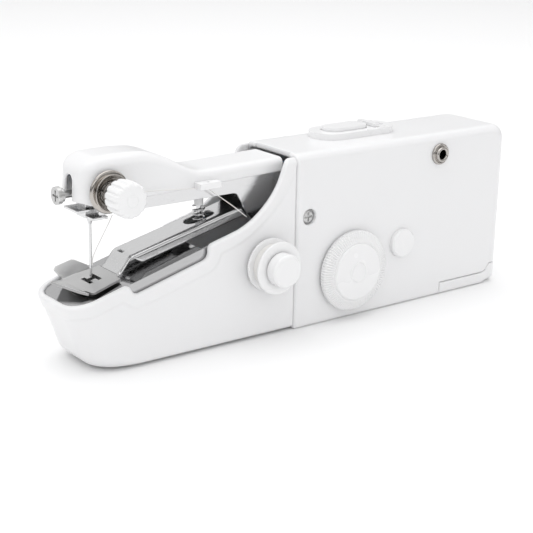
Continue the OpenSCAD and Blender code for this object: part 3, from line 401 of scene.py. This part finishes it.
def dress(obj, mat):
    obj.data.materials.clear()
    obj.data.materials.append(mat)


for row in frame["record"]["subparts"]:
    dress(nodes[row["node"]], finishes[row["material_slot"]])
dress(nodes["bed_frame"], extraFinishes["bed_steel"][0])
dress(nodes["presser_foot"], extraFinishes["satin_steel"][0])
print("frame dressed")


# mesh helpers, all in millimetres
def addPiece(name, verts, faces, finish, body, stands=()):
    mesh = bpy.data.meshes.new(name)
    points = [tuple(float(c) * mm for c in v) for v in verts]
    mesh.from_pydata(points, [], [tuple(int(i) for i in f) for f in faces])
    mesh.validate()
    form = bmesh.new()
    form.from_mesh(mesh)
    bmesh.ops.recalc_face_normals(form, faces=form.faces)
    form.to_mesh(mesh)
    form.free()
    mesh.update()
    obj = bpy.data.objects.new(name, mesh)
    bpy.context.scene.collection.objects.link(obj)
    mesh.shade_smooth()
    dress(obj, finishes[finish] if finish in finishes else extraFinishes[finish][0])
    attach(obj, body)
    if stands:
        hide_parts(*stands)
    return obj


def bake(obj):
    # turns the modifiers of a piece into plain mesh
    bpy.context.view_layer.update()
    deps = bpy.context.evaluated_depsgraph_get()
    fresh = bpy.data.meshes.new_from_object(obj.evaluated_get(deps))
    old = obj.data
    obj.modifiers.clear()
    obj.data = fresh
    bpy.data.meshes.remove(old)
    return obj


def roundMax(a, b, r):
    # where both forms meet, with an outer round of radius r
    return np.minimum(np.maximum(a, b), -r) + np.hypot(np.maximum(a + r, 0), np.maximum(b + r, 0))


def roundMin(a, b, r):
    return -roundMax(-a, -b, r)


def ease(v, low, high):
    t = np.clip((v - low) / (high - low), 0, 1)
    return t * t * (3 - 2 * t)


def meshField(field, low, high, step):
    # surface of a solid given by its distance field, negative inside
    ax = [np.arange(lo - 2 * step, hi + 2.01 * step, step) for lo, hi in zip(low, high)]
    v = field(*np.meshgrid(*ax, indexing="ij")).astype(np.float64)
    solid = v < 0
    cells = tuple(n - 1 for n in v.shape)
    total, count = np.zeros(cells + (3,)), np.zeros(cells)
    for d in range(3):
        others = [k for k in range(3) if k != d]
        for oa in (0, 1):
            for ob in (0, 1):
                near, far = [None] * 3, [None] * 3
                near[d], far[d] = slice(0, cells[d]), slice(1, cells[d] + 1)
                for k, o in zip(others, (oa, ob)):
                    near[k] = far[k] = slice(o, o + cells[k])
                a, b = v[tuple(near)], v[tuple(far)]
                cross = (a < 0) != (b < 0)
                t = np.where(cross, a / np.where(cross, a - b, 1), 0)
                total[..., d] += t
                for k, o in zip(others, (oa, ob)):
                    total[..., k] += cross * o
                count += cross
    active = count > 0
    where = np.argwhere(active)
    label = np.full(cells, -1)
    label[active] = np.arange(len(where))
    verts = (where + total[active] / count[active][:, None]) * step + np.array([a[0] for a in ax])
    faces = []
    around = ((0, 0), (1, 0), (1, 1), (0, 1))
    order = (around, around[:1] + around[:0:-1], around)
    for d in range(3):
        others = [k for k in range(3) if k != d]
        lo, hi = [slice(1, -1)] * 3, [slice(1, -1)] * 3
        lo[d], hi[d] = slice(0, -1), slice(1, None)
        a, b = solid[tuple(lo)], solid[tuple(hi)]
        at = np.argwhere(a != b)
        base = at.copy()
        for k in others:
            base[:, k] += 1
        quad = []
        for oa, ob in order[d]:
            c = base.copy()
            c[:, others[0]] -= 1 - oa
            c[:, others[1]] -= 1 - ob
            quad.append(label[c[:, 0], c[:, 1], c[:, 2]])
        quad = np.stack(quad, 1)
        flip = ~a[a != b]
        quad[flip] = quad[flip][:, ::-1]
        faces.append(quad)
    faces = np.concatenate(faces)
    # two moves toward the true surface
    for _ in range(2):
        e = step * 0.1
        f = field(*verts.T)
        steps = e * np.eye(3)
        g = np.stack([(field(*(verts + d).T) - field(*(verts - d).T)) / (2 * e) for d in steps], 1)
        move = -f[:, None] * g / np.maximum((g * g).sum(1), 0.2)[:, None]
        size = np.linalg.norm(move, axis=1)
        move *= np.minimum(1, 0.4 * step / np.maximum(size, 1e-9))[:, None]
        verts = verts + move
    return verts, faces


def thin(obj, ratio):
    dec = obj.modifiers.new("thin", "DECIMATE")
    dec.ratio = ratio
    bake(obj)
    obj.data.shade_smooth()
    return obj


def turned(profile, segs, at, wave=None):
    # lathe round an axis along Y; profile is (radius, y) pairs from the axis or back to it
    verts, faces = [], []
    n = len(profile)
    normals = []
    for i in range(n):
        a, b = profile[max(i - 1, 0)], profile[min(i + 1, n - 1)]
        dr, dy = b[0] - a[0], b[1] - a[1]
        size = math.hypot(dr, dy) or 1.0
        normals.append((-dy / size, dr / size))
    for i, (r, y) in enumerate(profile):
        for k in range(segs):
            t = 2 * math.pi * k / segs
            rr, yy = r, y
            if wave:
                lift = wave(i, t)
                rr, yy = r + normals[i][0] * lift, y + normals[i][1] * lift
            verts.append((at[0] + rr * math.cos(t), yy, at[1] + rr * math.sin(t)))
    for i in range(n - 1):
        for k in range(segs):
            j = (k + 1) % segs
            faces.append((i * segs + k, i * segs + j, (i + 1) * segs + j, (i + 1) * segs + k))
    for i, way in ((0, -1), (n - 1, 1)):
        ring = [i * segs + k for k in range(segs)]
        faces.append(ring[::way])
    return verts, faces


def tubed(path, radius, sides=10):
    # round wire along a path; radius is a number or a list
    path = [Vector(p) for p in path]
    verts, faces = [], []
    ref = None
    for i, p in enumerate(path):
        d = (path[min(i + 1, len(path) - 1)] - path[max(i - 1, 0)]).normalized()
        if ref is None:
            ref = d.orthogonal().normalized()
        ref = (ref - d * ref.dot(d)).normalized()
        side = d.cross(ref)
        r = radius[i] if isinstance(radius, (list, tuple)) else radius
        for k in range(sides):
            t = 2 * math.pi * k / sides
            verts.append(p + r * (math.cos(t) * ref + math.sin(t) * side))
    for i in range(len(path) - 1):
        for k in range(sides):
            j = (k + 1) % sides
            faces.append((i * sides + k, i * sides + j, (i + 1) * sides + j, (i + 1) * sides + k))
    faces.append([k for k in range(sides)][::-1])
    faces.append([(len(path) - 1) * sides + k for k in range(sides)])
    return verts, faces


def splined(points, per=8):
    out = []
    pts = [Vector(points[0])] + [Vector(p) for p in points] + [Vector(points[-1])]
    for i in range(1, len(pts) - 2):
        a, b, c, d = pts[i - 1:i + 3]
        for k in range(per):
            t = k / per
            bow, twist = 2 * a - 5 * b + 4 * c - d, 3 * b - a - 3 * c + d
            out.append(0.5 * ((2 * b) + (c - a) * t + bow * t * t + twist * t ** 3))
    out.append(pts[-2])
    return out


# places that several pieces share, as (x, z)
places = {"pivot": (0.8, 43.7), "tension": (-82.0, 63.8), "wheel": (21.8, 19.7), "idler": (47.78, 26.27),
          "socket": (66.5, 60.0), "bobbin": (-18.8, 29.1)}


def moulded(name, field, low, high, step, ratio, body, node, finish="white_shell"):
    verts, faces = meshField(field, low, high, step * (1))
    return thin(addPiece(name, verts, faces, finish, body, [node]), ratio)


# front case
frontSet = {
    "nose": -99.5, "noseTop": 24.6, "noseTilt": 19.8, "noseRound": 10.0, "lowRound": 5.0, "base": 1.0,
    "half": 16.0, "seam": -5.45, "roof": 68.0, "needle": -83.4, "rim": 29.6, "tilt": 14.8,
    "rise": (-15.34, 53.69, 68.0), "bend": 11.5, "lip": 1.3, "band": 5.0, "bandOut": 0.35,
    "pocket": 14.0, "noseWall": 1.9, "window": (-77.0, -44.9, 4.75), "windowRound": 3.0,
    "rimRound": 2.2, "roofRound": 3.4, "sideLow": 1.8, "sideLowEnds": (72.0, 88.0), "floorWall": 2.0,
    "floorRound": 3.0, "innerRound": 0.7, "seamRound": 0.5, "step": 0.5,
}


def frontField(x, y, z):
    s = frontSet
    t = math.radians(s["noseTilt"])
    nose = -((x - s["nose"]) * math.cos(t) + (z - s["noseTop"]) * math.sin(t))
    bed = math.radians(s["tilt"])
    slope = (z - s["rim"] - (x - s["needle"]) * math.tan(bed)) * math.cos(bed)
    rx, rz, steep = s["rise"]
    rise = -((x - rx) * math.sin(math.radians(steep)) - (z - rz) * math.cos(math.radians(steep)))
    rim = roundMin(slope, rise, s["bend"])
    # the scalloped window dips the rim on both sides
    along = (x - s["needle"]) * math.cos(bed) + (z - s["rim"]) * math.sin(bed)
    lo = (s["window"][0] - s["needle"]) / math.cos(bed)
    hi = (s["window"][1] - s["needle"]) / math.cos(bed)
    ends = np.abs(along - (lo + hi) / 2) - (hi - lo) / 2
    window = roundMax(ends, -(slope + s["window"][2]), s["windowRound"])
    rim = roundMax(rim, -window, s["rimRound"])
    proud = s["bandOut"] * ease(rim, -s["band"] - 0.3, -s["band"] + 0.3)
    side = np.abs(y) - s["half"] - proud
    roof = roundMax(z - s["roof"] + 0.5, side, s["roofRound"])
    plan = roundMax(nose - proud, roof, s["noseRound"])
    low = s["sideLow"] + (s["lowRound"] - s["sideLow"]) * ease(-x, *s["sideLowEnds"])
    outer = roundMax(plan, s["base"] - z, low)
    inner = roundMax(nose + s["noseWall"], np.abs(y) - s["pocket"], s["noseRound"] - s["noseWall"])
    inner = roundMax(inner, s["base"] + s["floorWall"] - z, s["floorRound"])
    shell = roundMax(outer, rim, s["lip"])
    shell = roundMax(shell, -inner, s["innerRound"])
    shell = roundMax(shell, x - s["seam"], s["seamRound"])
    return shell


frontShell = moulded("frontShell", frontField, (-101, -17, 0), (-5, 17, 69), frontSet["step"], 0.4,
                     "case", "front_case")
print("front shell", len(frontShell.data.polygons))


# motor case, back cover and battery door
caseSet = {
    "seam": -5.3, "tail": 105.0, "roof": 68.0, "half": 16.5, "wall": 2.0, "cover": 12.5,
    "tailRound": 6.0, "topRound": 3.4, "planRound": 5.0, "lowRound": 1.8, "seamRound": 1.3,
    "door": 71.0, "doorTop": [(60, 5.0), (95, 5.0), (97.5, 5.8), (99.5, 8.5), (110, 8.5)], "gap": 0.3,
    "step": 0.42, "pivotBore": 2.05, "pillar": 4.4, "pillarGap": 8.55,
    "baseRound": 3.2, "web": 0.6, "innerRound": 0.6, "doorRound": 0.35, "lapRound": 0.3,
    "mouth": (-4.4, 10.7, 65.0), "button": (37.3, 4.2, 8.6, 5.3),
}
caseSpans = {
    "motor": ((-5.4, -16.6, -0.1), (105.1, 12.6, 68.1)),
    "back": ((-5.4, 8.5, -0.1), (105.1, 16.6, 68.1)),
    "door": ((70.8, -16.6, -0.1), (105.1, 16.6, 9)),
}
# openings in the near side: place, radius, and reach along Y
nearHoles = (("wheel", 4, -18, -13.5), ("idler", 1.55, -18, -13.5), ("socket", 3.1, -18, -13.5),
             ("pivot", 3.1, -18, -14.2), ("pivot", 2.05, -18, 18))
bossSet = {"places": [(6, 6.5), (66, 8), (68, 47), (14, 58)], "rod": (2.7, -15, -2.5),
           "bore": (1.3, -9.5, -1.5)}
coverSet = {"places": [(100.2, 63.6), (64, 63.6), (14, 63.6), (4, 4.4), (66.5, 4.4)],
            "rod": (2.7, 4.5, 12.5), "bore": (1.3, 4, 14), "hole": (1.4, 11, 18),
            "sink": (2.3, 15.3, 18)}


def rodField(x, y, z, at, r, low, high):
    ends = np.abs(y - (low + high) / 2) - (high - low) / 2
    return np.maximum(np.hypot(x - at[0], z - at[1]) - r, ends)


def caseBody(x, y, z, inset):
    s = caseSet
    profile = roundMax(z - s["roof"] + inset, x - s["tail"] + inset, s["tailRound"] - inset)
    profile = roundMax(profile, inset - z, s["baseRound"] - inset)
    turn = s["lowRound"] + (s["topRound"] - s["lowRound"]) * ease(z, 20, 50)
    turn = turn + (s["planRound"] - turn) * ease(x, s["tail"] - 10, s["tail"] - 3)
    return roundMax(profile, np.abs(y) - s["half"] + inset, np.maximum(turn - inset * 0.7, 0.8))


def doorRegion(x, z, grow):
    s = caseSet
    top = np.interp(x, [p[0] for p in s["doorTop"]], [p[1] for p in s["doorTop"]])
    return roundMax((z - top - grow) * 0.85, s["door"] - grow - x, 0.5)


def caseShell(x, y, z):
    s = caseSet
    outer = roundMax(caseBody(x, y, z, 0), s["seam"] - x, s["seamRound"])
    inner = caseBody(x, y, z, s["wall"])
    web = np.maximum(np.abs(x - s["door"]) - s["web"], inner)
    web = np.maximum(web, s["doorTop"][0][1] + 1 - z)
    shell = np.minimum(roundMax(outer, -inner, s["innerRound"]), web)
    shell = np.maximum(shell, -rodField(x, y, z, places["pivot"], s["pivotBore"], -20, 20))
    shell = roundMax(shell, -doorRegion(x, z, s["gap"]), s["doorRound"])
    front, half, floor = s["mouth"]
    mouth = np.maximum(np.maximum(x - front, np.abs(y) - half), floor - z)
    midX, midY, straight, r = s["button"]
    slot = np.hypot(np.maximum(np.abs(x - midX) - straight, 0), y - midY) - r
    slot = np.maximum(slot, floor - z)
    return np.maximum(np.maximum(shell, -mouth), -slot)


def motorField(x, y, z):
    shell = caseShell(x, y, z)
    for at in bossSet["places"]:
        shell = roundMin(shell, rodField(x, y, z, at, *bossSet["rod"]), 0.5)
    for at in coverSet["places"]:
        shell = np.minimum(shell, rodField(x, y, z, at, *coverSet["rod"]))
    pillar, gap = caseSet["pillar"], caseSet["pillarGap"]
    shell = np.minimum(shell, rodField(x, y, z, places["pivot"], pillar, -15, -gap))
    for key, r, low, high in nearHoles:
        shell = roundMax(shell, -rodField(x, y, z, places[key], r, low, high), 0.25)
    for bosses in (bossSet, coverSet):
        for at in bosses["places"]:
            shell = np.maximum(shell, -rodField(x, y, z, at, *bosses["bore"]))
    return roundMax(shell, y - caseSet["cover"] + 0.05, caseSet["lapRound"])


def backField(x, y, z):
    shell = caseShell(x, y, z)
    pillar, gap, bore = caseSet["pillar"], caseSet["pillarGap"], caseSet["pivotBore"]
    shell = np.minimum(shell, rodField(x, y, z, places["pivot"], pillar, gap, 15))
    shell = np.maximum(shell, -rodField(x, y, z, places["pivot"], bore, -18, 14.6))
    for at in coverSet["places"]:
        shell = np.maximum(shell, -rodField(x, y, z, at, *coverSet["hole"]))
        shell = roundMax(shell, -rodField(x, y, z, at, *coverSet["sink"]), 0.25)
    return roundMax(shell, caseSet["cover"] + 0.05 - y, caseSet["lapRound"])


def doorField(x, y, z):
    body = roundMax(caseBody(x, y, z, 0), doorRegion(x, z, 0), caseSet["doorRound"])
    return roundMax(body, -caseBody(x, y, z, caseSet["wall"]), 0.5)


for name, field, span, ratio, body, node in (
        ("motorShell", motorField, "motor", 0.4, "case", "motor_case"),
        ("backShell", backField, "back", 0.4, "case", "back_cover"),
        ("doorShell", doorField, "door", 0.5, "door", "battery_door")):
    moulded(name, field, *caseSpans[span], caseSet["step"], ratio, body, node)
print("motor case")


# cover of the arm
armSet = {
    "front": -91.5, "half": 9.5, "rear": -6.8, "wall": 1.1, "sideRound": 4.4, "frontRound": 7.2,
    "tops": [(-95, 74.6), (-86, 75.1), (-80, 75.35), (-72, 75.35), (-66, 75.0), (-62, 74.1),
             (-58, 72.5), (-54, 70.5), (-50, 68.2), (-47, 66.6), (-44, 65.7), (-40, 65.5),
             (-30, 65.7), (-5, 66.3)],
    "low": (58.75, 0.028), "slot": (2.4, 66.4), "slotEnd": -85.0, "slotRound": 0.45,
    "innerRound": 0.3, "edgeRound": 0.35, "rearRound": 0.5, "step": 0.36,
}


def armField(x, y, z):
    s = armSet
    tops = s["tops"]
    grid = np.linspace(tops[0][0], tops[-1][0], 400)
    curve = np.interp(grid, [p[0] for p in tops], [p[1] for p in tops])
    for _ in range(3):
        curve = np.convolve(np.pad(curve, 6, mode="edge"), np.ones(13) / 13, mode="valid")
    rise = np.gradient(curve, grid)
    top = (z - np.interp(x, grid, curve)) / np.sqrt(1 + np.interp(x, grid, rise) ** 2)
    side = np.abs(y) - s["half"]
    neck = s["sideRound"] - 1.9 * ease(x, -62.0, -46.0)
    body = roundMax(top, side, neck)
    body = roundMax(body, s["front"] - x + 0.06 * (z - 64), s["frontRound"])
    body = roundMax(body, x - s["rear"], s["rearRound"])
    shell = roundMax(body, -(body + s["wall"]), s["innerRound"])
    low = s["low"][0] + s["low"][1] * (x - s["front"]) + 1.2 * ease(-x, 86.0, 91.5) - z
    shell = roundMax(shell, low, s["edgeRound"])
    hole = np.where(z > s["slot"][1], np.hypot(y, z - s["slot"][1]), np.abs(y)) - s["slot"][0]
    hole = np.maximum(hole, x - s["slotEnd"])
    return roundMax(shell, -hole, s["slotRound"])


armShell = moulded("armShell", armField, (-92, -9.6, 57), (-6, 9.6, 76), armSet["step"], 0.5,
                   "arm", "arm_cover")
print("arm shell", len(armShell.data.polygons))


# presser lever
leverSet = {
    "tilt": 13.4, "bend": (-70.0, 38.3), "foot": (-76.2, 32.1), "end": -6.0, "half": 6.6, "flange": 3.7,
    "sheet": 0.8, "round": 1.5, "lean": 0.16, "stud": (-38.2, 6.0, 3.0), "pivot": places["pivot"],
    "ear": 4.4, "slit": (-70.4, 1.4, 0.5, 1.7), "slitRound": 0.2,
    "innerRound": 0.15, "edgeRound": 0.3, "studRound": 0.35, "screw": 1.85, "step": 0.27,
}


def leverTop(x):
    s = leverSet
    rise = math.tan(math.radians(s["tilt"]))
    grid = np.linspace(-80, 6, 1400)
    flat = s["foot"][1] + (grid - s["foot"][0]) * rise
    climb = (s["bend"][1] - s["foot"][1] + 0.6) / (s["bend"][0] - s["foot"][0] - 0.8)
    steep = s["foot"][1] + (grid - s["foot"][0] - 0.4) * climb
    long = s["bend"][1] + (grid - s["bend"][0]) * rise
    curve = np.minimum(np.maximum(flat, steep), long)
    soft = np.ones(31) / 31
    for _ in range(2):
        curve = np.convolve(np.pad(curve, 15, mode="reflect", reflect_type="odd"), soft, mode="valid")
    return np.interp(x, grid, curve), np.interp(x, grid, np.gradient(curve, grid))


def leverField(x, y, z):
    s = leverSet
    top, rise = leverTop(x)
    stretch = np.sqrt(1 + rise ** 2)
    lid = (z - top) / stretch
    side = np.abs(y) - s["half"] - s["lean"] * np.clip(top - z, 0, 4) + 0.2
    outer = roundMax(lid, side, s["round"])
    shell = roundMax(outer, -(outer + s["sheet"]), s["innerRound"])
    depth = s["sheet"] + (s["flange"] - s["sheet"]) * ease(x, -71.2, -66.0)
    shell = roundMax(shell, -lid - depth, s["edgeRound"])
    shell = np.maximum(np.maximum(shell, x - s["end"]), s["foot"][0] - x)
    stud, reach, width = s["stud"]
    slot = np.hypot(np.maximum(np.abs(x - stud) - reach + width, 0), y) - width
    shell = roundMax(shell, -slot, s["studRound"])
    a, b, w, l = s["slit"]
    slit = np.hypot(np.maximum(np.abs(y - b) - l + w, 0), x - a) - w
    shell = roundMax(shell, -slit, s["slitRound"])
    # ears that turn on the pivot
    px, pz = s["pivot"]
    link = np.maximum(np.maximum(-12.0 - x, x - px - 2), np.maximum(z - top, 44.4 - 0.35 * (x + 12) - z))
    ear = np.minimum(np.hypot(x - px, z - pz) - s["ear"], link)
    ear = np.maximum(ear, np.abs(np.abs(y) - s["half"] + s["sheet"] / 2) - s["sheet"] / 2)
    return np.maximum(np.minimum(shell, ear), s["screw"] - np.hypot(x - px, z - pz))


moulded("leverShell", leverField, (-76.4, -7.2, 30), (5.4, 7.2, 54.5), leverSet["step"], 0.5,
        "presser", "presser_lever", "nickel_steel")
print("presser lever")


# knob, hand wheel and bobbin
knobSet = {"at": places["tension"], "flutes": 14, "depth": 0.55}
knobLine = [(1.7, -17.7), (5.2, -17.7), (5.7, -17.9), (6.05, -18.4), (6.2, -19.4), (6.25, -22.0),
            (6.2, -24.6), (6.05, -25.4), (5.75, -25.9), (5.3, -26.2), (4.7, -26.3), (2.5, -26.3),
            (2.15, -26.35), (2.0, -26.6), (1.8, -26.7), (0.6, -26.72)]


def knobWave(i, t):
    if not 1 <= i <= 9:
        return 0.0
    share = (0.3, 0.7, 1, 1, 1, 1, 0.9, 0.6, 0.3)[i - 1]
    return -knobSet["depth"] * share * ((1 + math.cos(knobSet["flutes"] * t)) / 2) ** 5


verts, faces = turned(knobLine, knobSet["flutes"] * 14, knobSet["at"], knobWave)
addPiece("flutedKnob", verts, faces, "fine_white", "knob", ["tension_knob"])

wheelSet = {"at": places["wheel"], "ribs": 90, "depth": 0.42}
wheelLine = [(3.0, -17.1), (14.6, -17.1), (15.4, -17.2), (15.8, -17.5), (16.0, -17.9),
             (16.0, -18.9), (15.85, -19.3), (15.5, -19.65), (14.6, -20.1), (13.4, -20.55),
             (12.4, -20.85), (11.95, -20.95), (11.6, -20.9), (11.45, -20.75), (11.3, -20.9),
             (11.15, -21.3), (10.9, -21.47), (10.5, -21.5), (7.0, -21.5), (4.4, -21.5),
             (4.15, -21.52), (4.0, -21.68), (3.8, -21.74), (3.6, -21.68), (3.45, -21.52),
             (3.2, -21.45), (0.8, -21.4)]


def wheelWave(i, t):
    share = {3: 0.3, 4: 1, 5: 1, 6: 1, 7: 1, 8: 1, 9: 1, 10: 0.8, 11: 0.2}.get(i, 0.0)
    return -wheelSet["depth"] * share * ((1 + math.cos(wheelSet["ribs"] * t)) / 2) ** 2


verts, faces = turned(wheelLine, wheelSet["ribs"] * 10, wheelSet["at"], wheelWave)
addPiece("ribbedWheel", verts, faces, "fine_white", "wheel", ["hand_wheel"])

bobbinSet = {"at": places["bobbin"], "teeth": 80, "depth": 0.3, "thread": 8.1, "turns": 15}
bobbinLine = [(2.9, -17.4), (9.0, -17.4), (9.7, -17.5), (10.0, -17.8), (10.0, -18.1), (9.7, -18.4),
              (9.0, -18.5), (4.2, -18.6), (4.0, -18.9), (4.0, -22.9), (4.2, -23.2), (9.0, -23.3),
              (9.7, -23.4), (9.95, -23.65), (9.95, -24.05), (9.7, -24.3), (9.2, -24.4),
              (7.2, -24.42), (6.9, -24.3), (3.0, -24.3), (2.9, -24.3)]


def bobbinWave(i, t):
    share = {2: 0.4, 3: 1, 4: 1, 5: 0.4}.get(i, 0.0)
    return -bobbinSet["depth"] * share * ((1 + math.cos(bobbinSet["teeth"] * t)) / 2) ** 2


verts, faces = turned(bobbinLine, bobbinSet["teeth"] * 8, bobbinSet["at"], bobbinWave)
addPiece("bobbinBody", verts, faces, "fine_white", "spool", ["bobbin"])

woundLine = [(4.1, -18.7)]
for i in range(bobbinSet["turns"] * 4 + 1):
    t = i / (bobbinSet["turns"] * 4)
    swell = 0.13 * abs(math.sin(math.pi * i / 4)) - 0.35 * (2 * t - 1) ** 4
    woundLine.append((bobbinSet["thread"] + swell, -18.7 - t * 4.4))
woundLine.append((4.1, -23.1))
verts, faces = turned(woundLine, 96, bobbinSet["at"],
                      lambda i, t: 0.05 * math.sin(5 * t + i * 0.7) * math.sin(3 * t))
addPiece("woundThread", verts, faces, "white_thread", "spool", ["bobbin_thread"])
print("turned pieces")


discLines = [
    [(2.2, -11.9), (6.9, -11.9), (7.4, -11.6), (7.5, -11.2), (7.45, -10.95), (6.9, -11.1),
     (6.2, -11.35), (2.2, -11.35)],
    [(2.2, -12.75), (5.2, -12.75), (5.9, -12.95), (6.4, -13.3), (6.6, -13.55), (6.5, -13.8),
     (6.2, -13.75), (5.6, -13.35), (5.0, -13.15), (2.2, -13.15)],
]
verts, faces = [], []
for line in discLines:
    v, f = turned(line + [line[0]], 96, places["tension"])
    f = f[:-2]
    faces += [[i + len(verts) for i in q] for q in f]
    verts += v
addPiece("turnedDiscs", verts, faces, "turned_steel", "arm", ["tension_discs"])

socketLine = [(3.0, -14.5), (3.0, -16.5), (4.25, -16.5), (4.3, -16.65), (4.28, -17.1),
              (4.05, -17.5), (3.75, -17.62), (3.45, -17.5), (3.25, -17.3), (3.1, -17.3),
              (3.03, -17.5), (2.95, -18.4), (2.8, -18.7), (2.55, -18.8), (2.3, -18.75),
              (2.0, -18.5), (1.82, -18.2), (1.8, -17.9), (1.8, -14.5), (3.0, -14.5)]
verts, faces = turned(socketLine, 96, places["socket"])
addPiece("turnedSocketRing", verts, faces[:-2], "chrome_ring", "case", ["jack_ring"])
print("turned metal")


# springs and thread
def coil(at, axis, radius, wire, start, pitch, turns, per=36, grow=0.0):
    path = []
    for i in range(int(turns * per) + 1):
        t = 2 * math.pi * i / per
        r = radius + grow * i / (turns * per)
        u, v, w = r * math.cos(t), r * math.sin(t), start + pitch * i / per
        path.append((at[0] + u, w, at[1] + v) if axis == "Y" else (at[0] + u, at[1] + v, w))
    return tubed(path, wire, 8)


tensionSet = {"at": places["tension"], "radius": 3.7, "wire": 0.42, "start": -13.6, "pitch": -1.15,
              "turns": 3.3, "grow": -0.9}
s = tensionSet
verts, faces = coil(s["at"], "Y", s["radius"], s["wire"], s["start"], s["pitch"], s["turns"],
                    36, s["grow"])
addPiece("tensionCoil", verts, faces, "dark_steel", "arm", ["tension_spring"])

footSpringSet = {"at": (-38.2, 0.0), "radius": 2.05, "wire": 0.34, "start": 44.4, "pitch": 1.7,
                 "turns": 3.4}
s = footSpringSet
verts, faces = coil(s["at"], "Z", s["radius"], s["wire"], s["start"], s["pitch"], s["turns"])
pinLine = [(42.6, 0.7), (42.9, 0.95), (50.4, 0.95), (50.7, 0.9)]
pin, pinFaces = tubed([(s["at"][0], 0, z) for z, r in pinLine], [r for z, r in pinLine], 20)
faces = list(faces) + [[i + len(verts) for i in f] for f in pinFaces]
addPiece("footCoil", list(verts) + list(pin), faces, "nickel_steel", "arm", ["presser_spring"])

threadSet = {"radius": 0.17, "twist": 0.02}
armRoute = [(-74.8, -11.2, 62.6), (-64, -11.3, 61.7), (-54, -11.4, 60.9), (-46.9, -11.5, 60.3)]
needleRoute = [(-81, -11.2, 55.6), (-80.2, -6, 50), (-82.1, -2.3, 42.2), (-83.1, -0.88, 37.9),
               (-83.2, -0.86, 35.4)]
feedRoute = [(-42, -11.5, 59.6), (-38, -11.7, 56.6), (-31, -12, 51.4), (-25.4, -12.3, 46.8)]
for name, route, node in (("armStrand", armRoute, "arm_thread"),
                          ("needleStrand", needleRoute, "needle_thread"),
                          ("feedStrand", feedRoute, "feed_thread")):
    path = splined(route, 30)
    radii = [threadSet["radius"] + threadSet["twist"] * math.sin(i * 1.9) for i in range(len(path))]
    verts, faces = tubed(path, radii, 8)
    addPiece(name, verts, faces, "white_thread", "arm", [node])
print("springs and thread")


# floor
def addFloor(s):
    half = s["floorSize"] / 2
    bm = bmesh.new()
    bmesh.ops.create_grid(bm, x_segments=1, y_segments=1, size=half)
    mesh = bpy.data.meshes.new("floor")
    bm.to_mesh(mesh)
    bm.free()
    obj = bpy.data.objects.new("floor", mesh)
    obj.location.z = cadBox[0][2]
    bpy.context.scene.collection.objects.link(obj)
    m, nt, bsdf = newMaterial("paperFloor")
    where = nt.nodes.new("ShaderNodeTexCoord")
    fibre = nt.nodes.new("ShaderNodeTexNoise")
    fibre.inputs["Scale"].default_value = 900.0
    nt.links.new(where.outputs["Object"], fibre.inputs["Vector"])
    tint = s["floorTint"]
    tone = mixColor(nt, fibre.outputs["Fac"], tuple(v * 0.99 for v in tint), tint)
    nt.links.new(tone, bsdf.inputs["Base Color"])
    bsdf.inputs["Roughness"].default_value = 0.85
    dress(obj, m)


addFloor(studioSet)
print("floor")
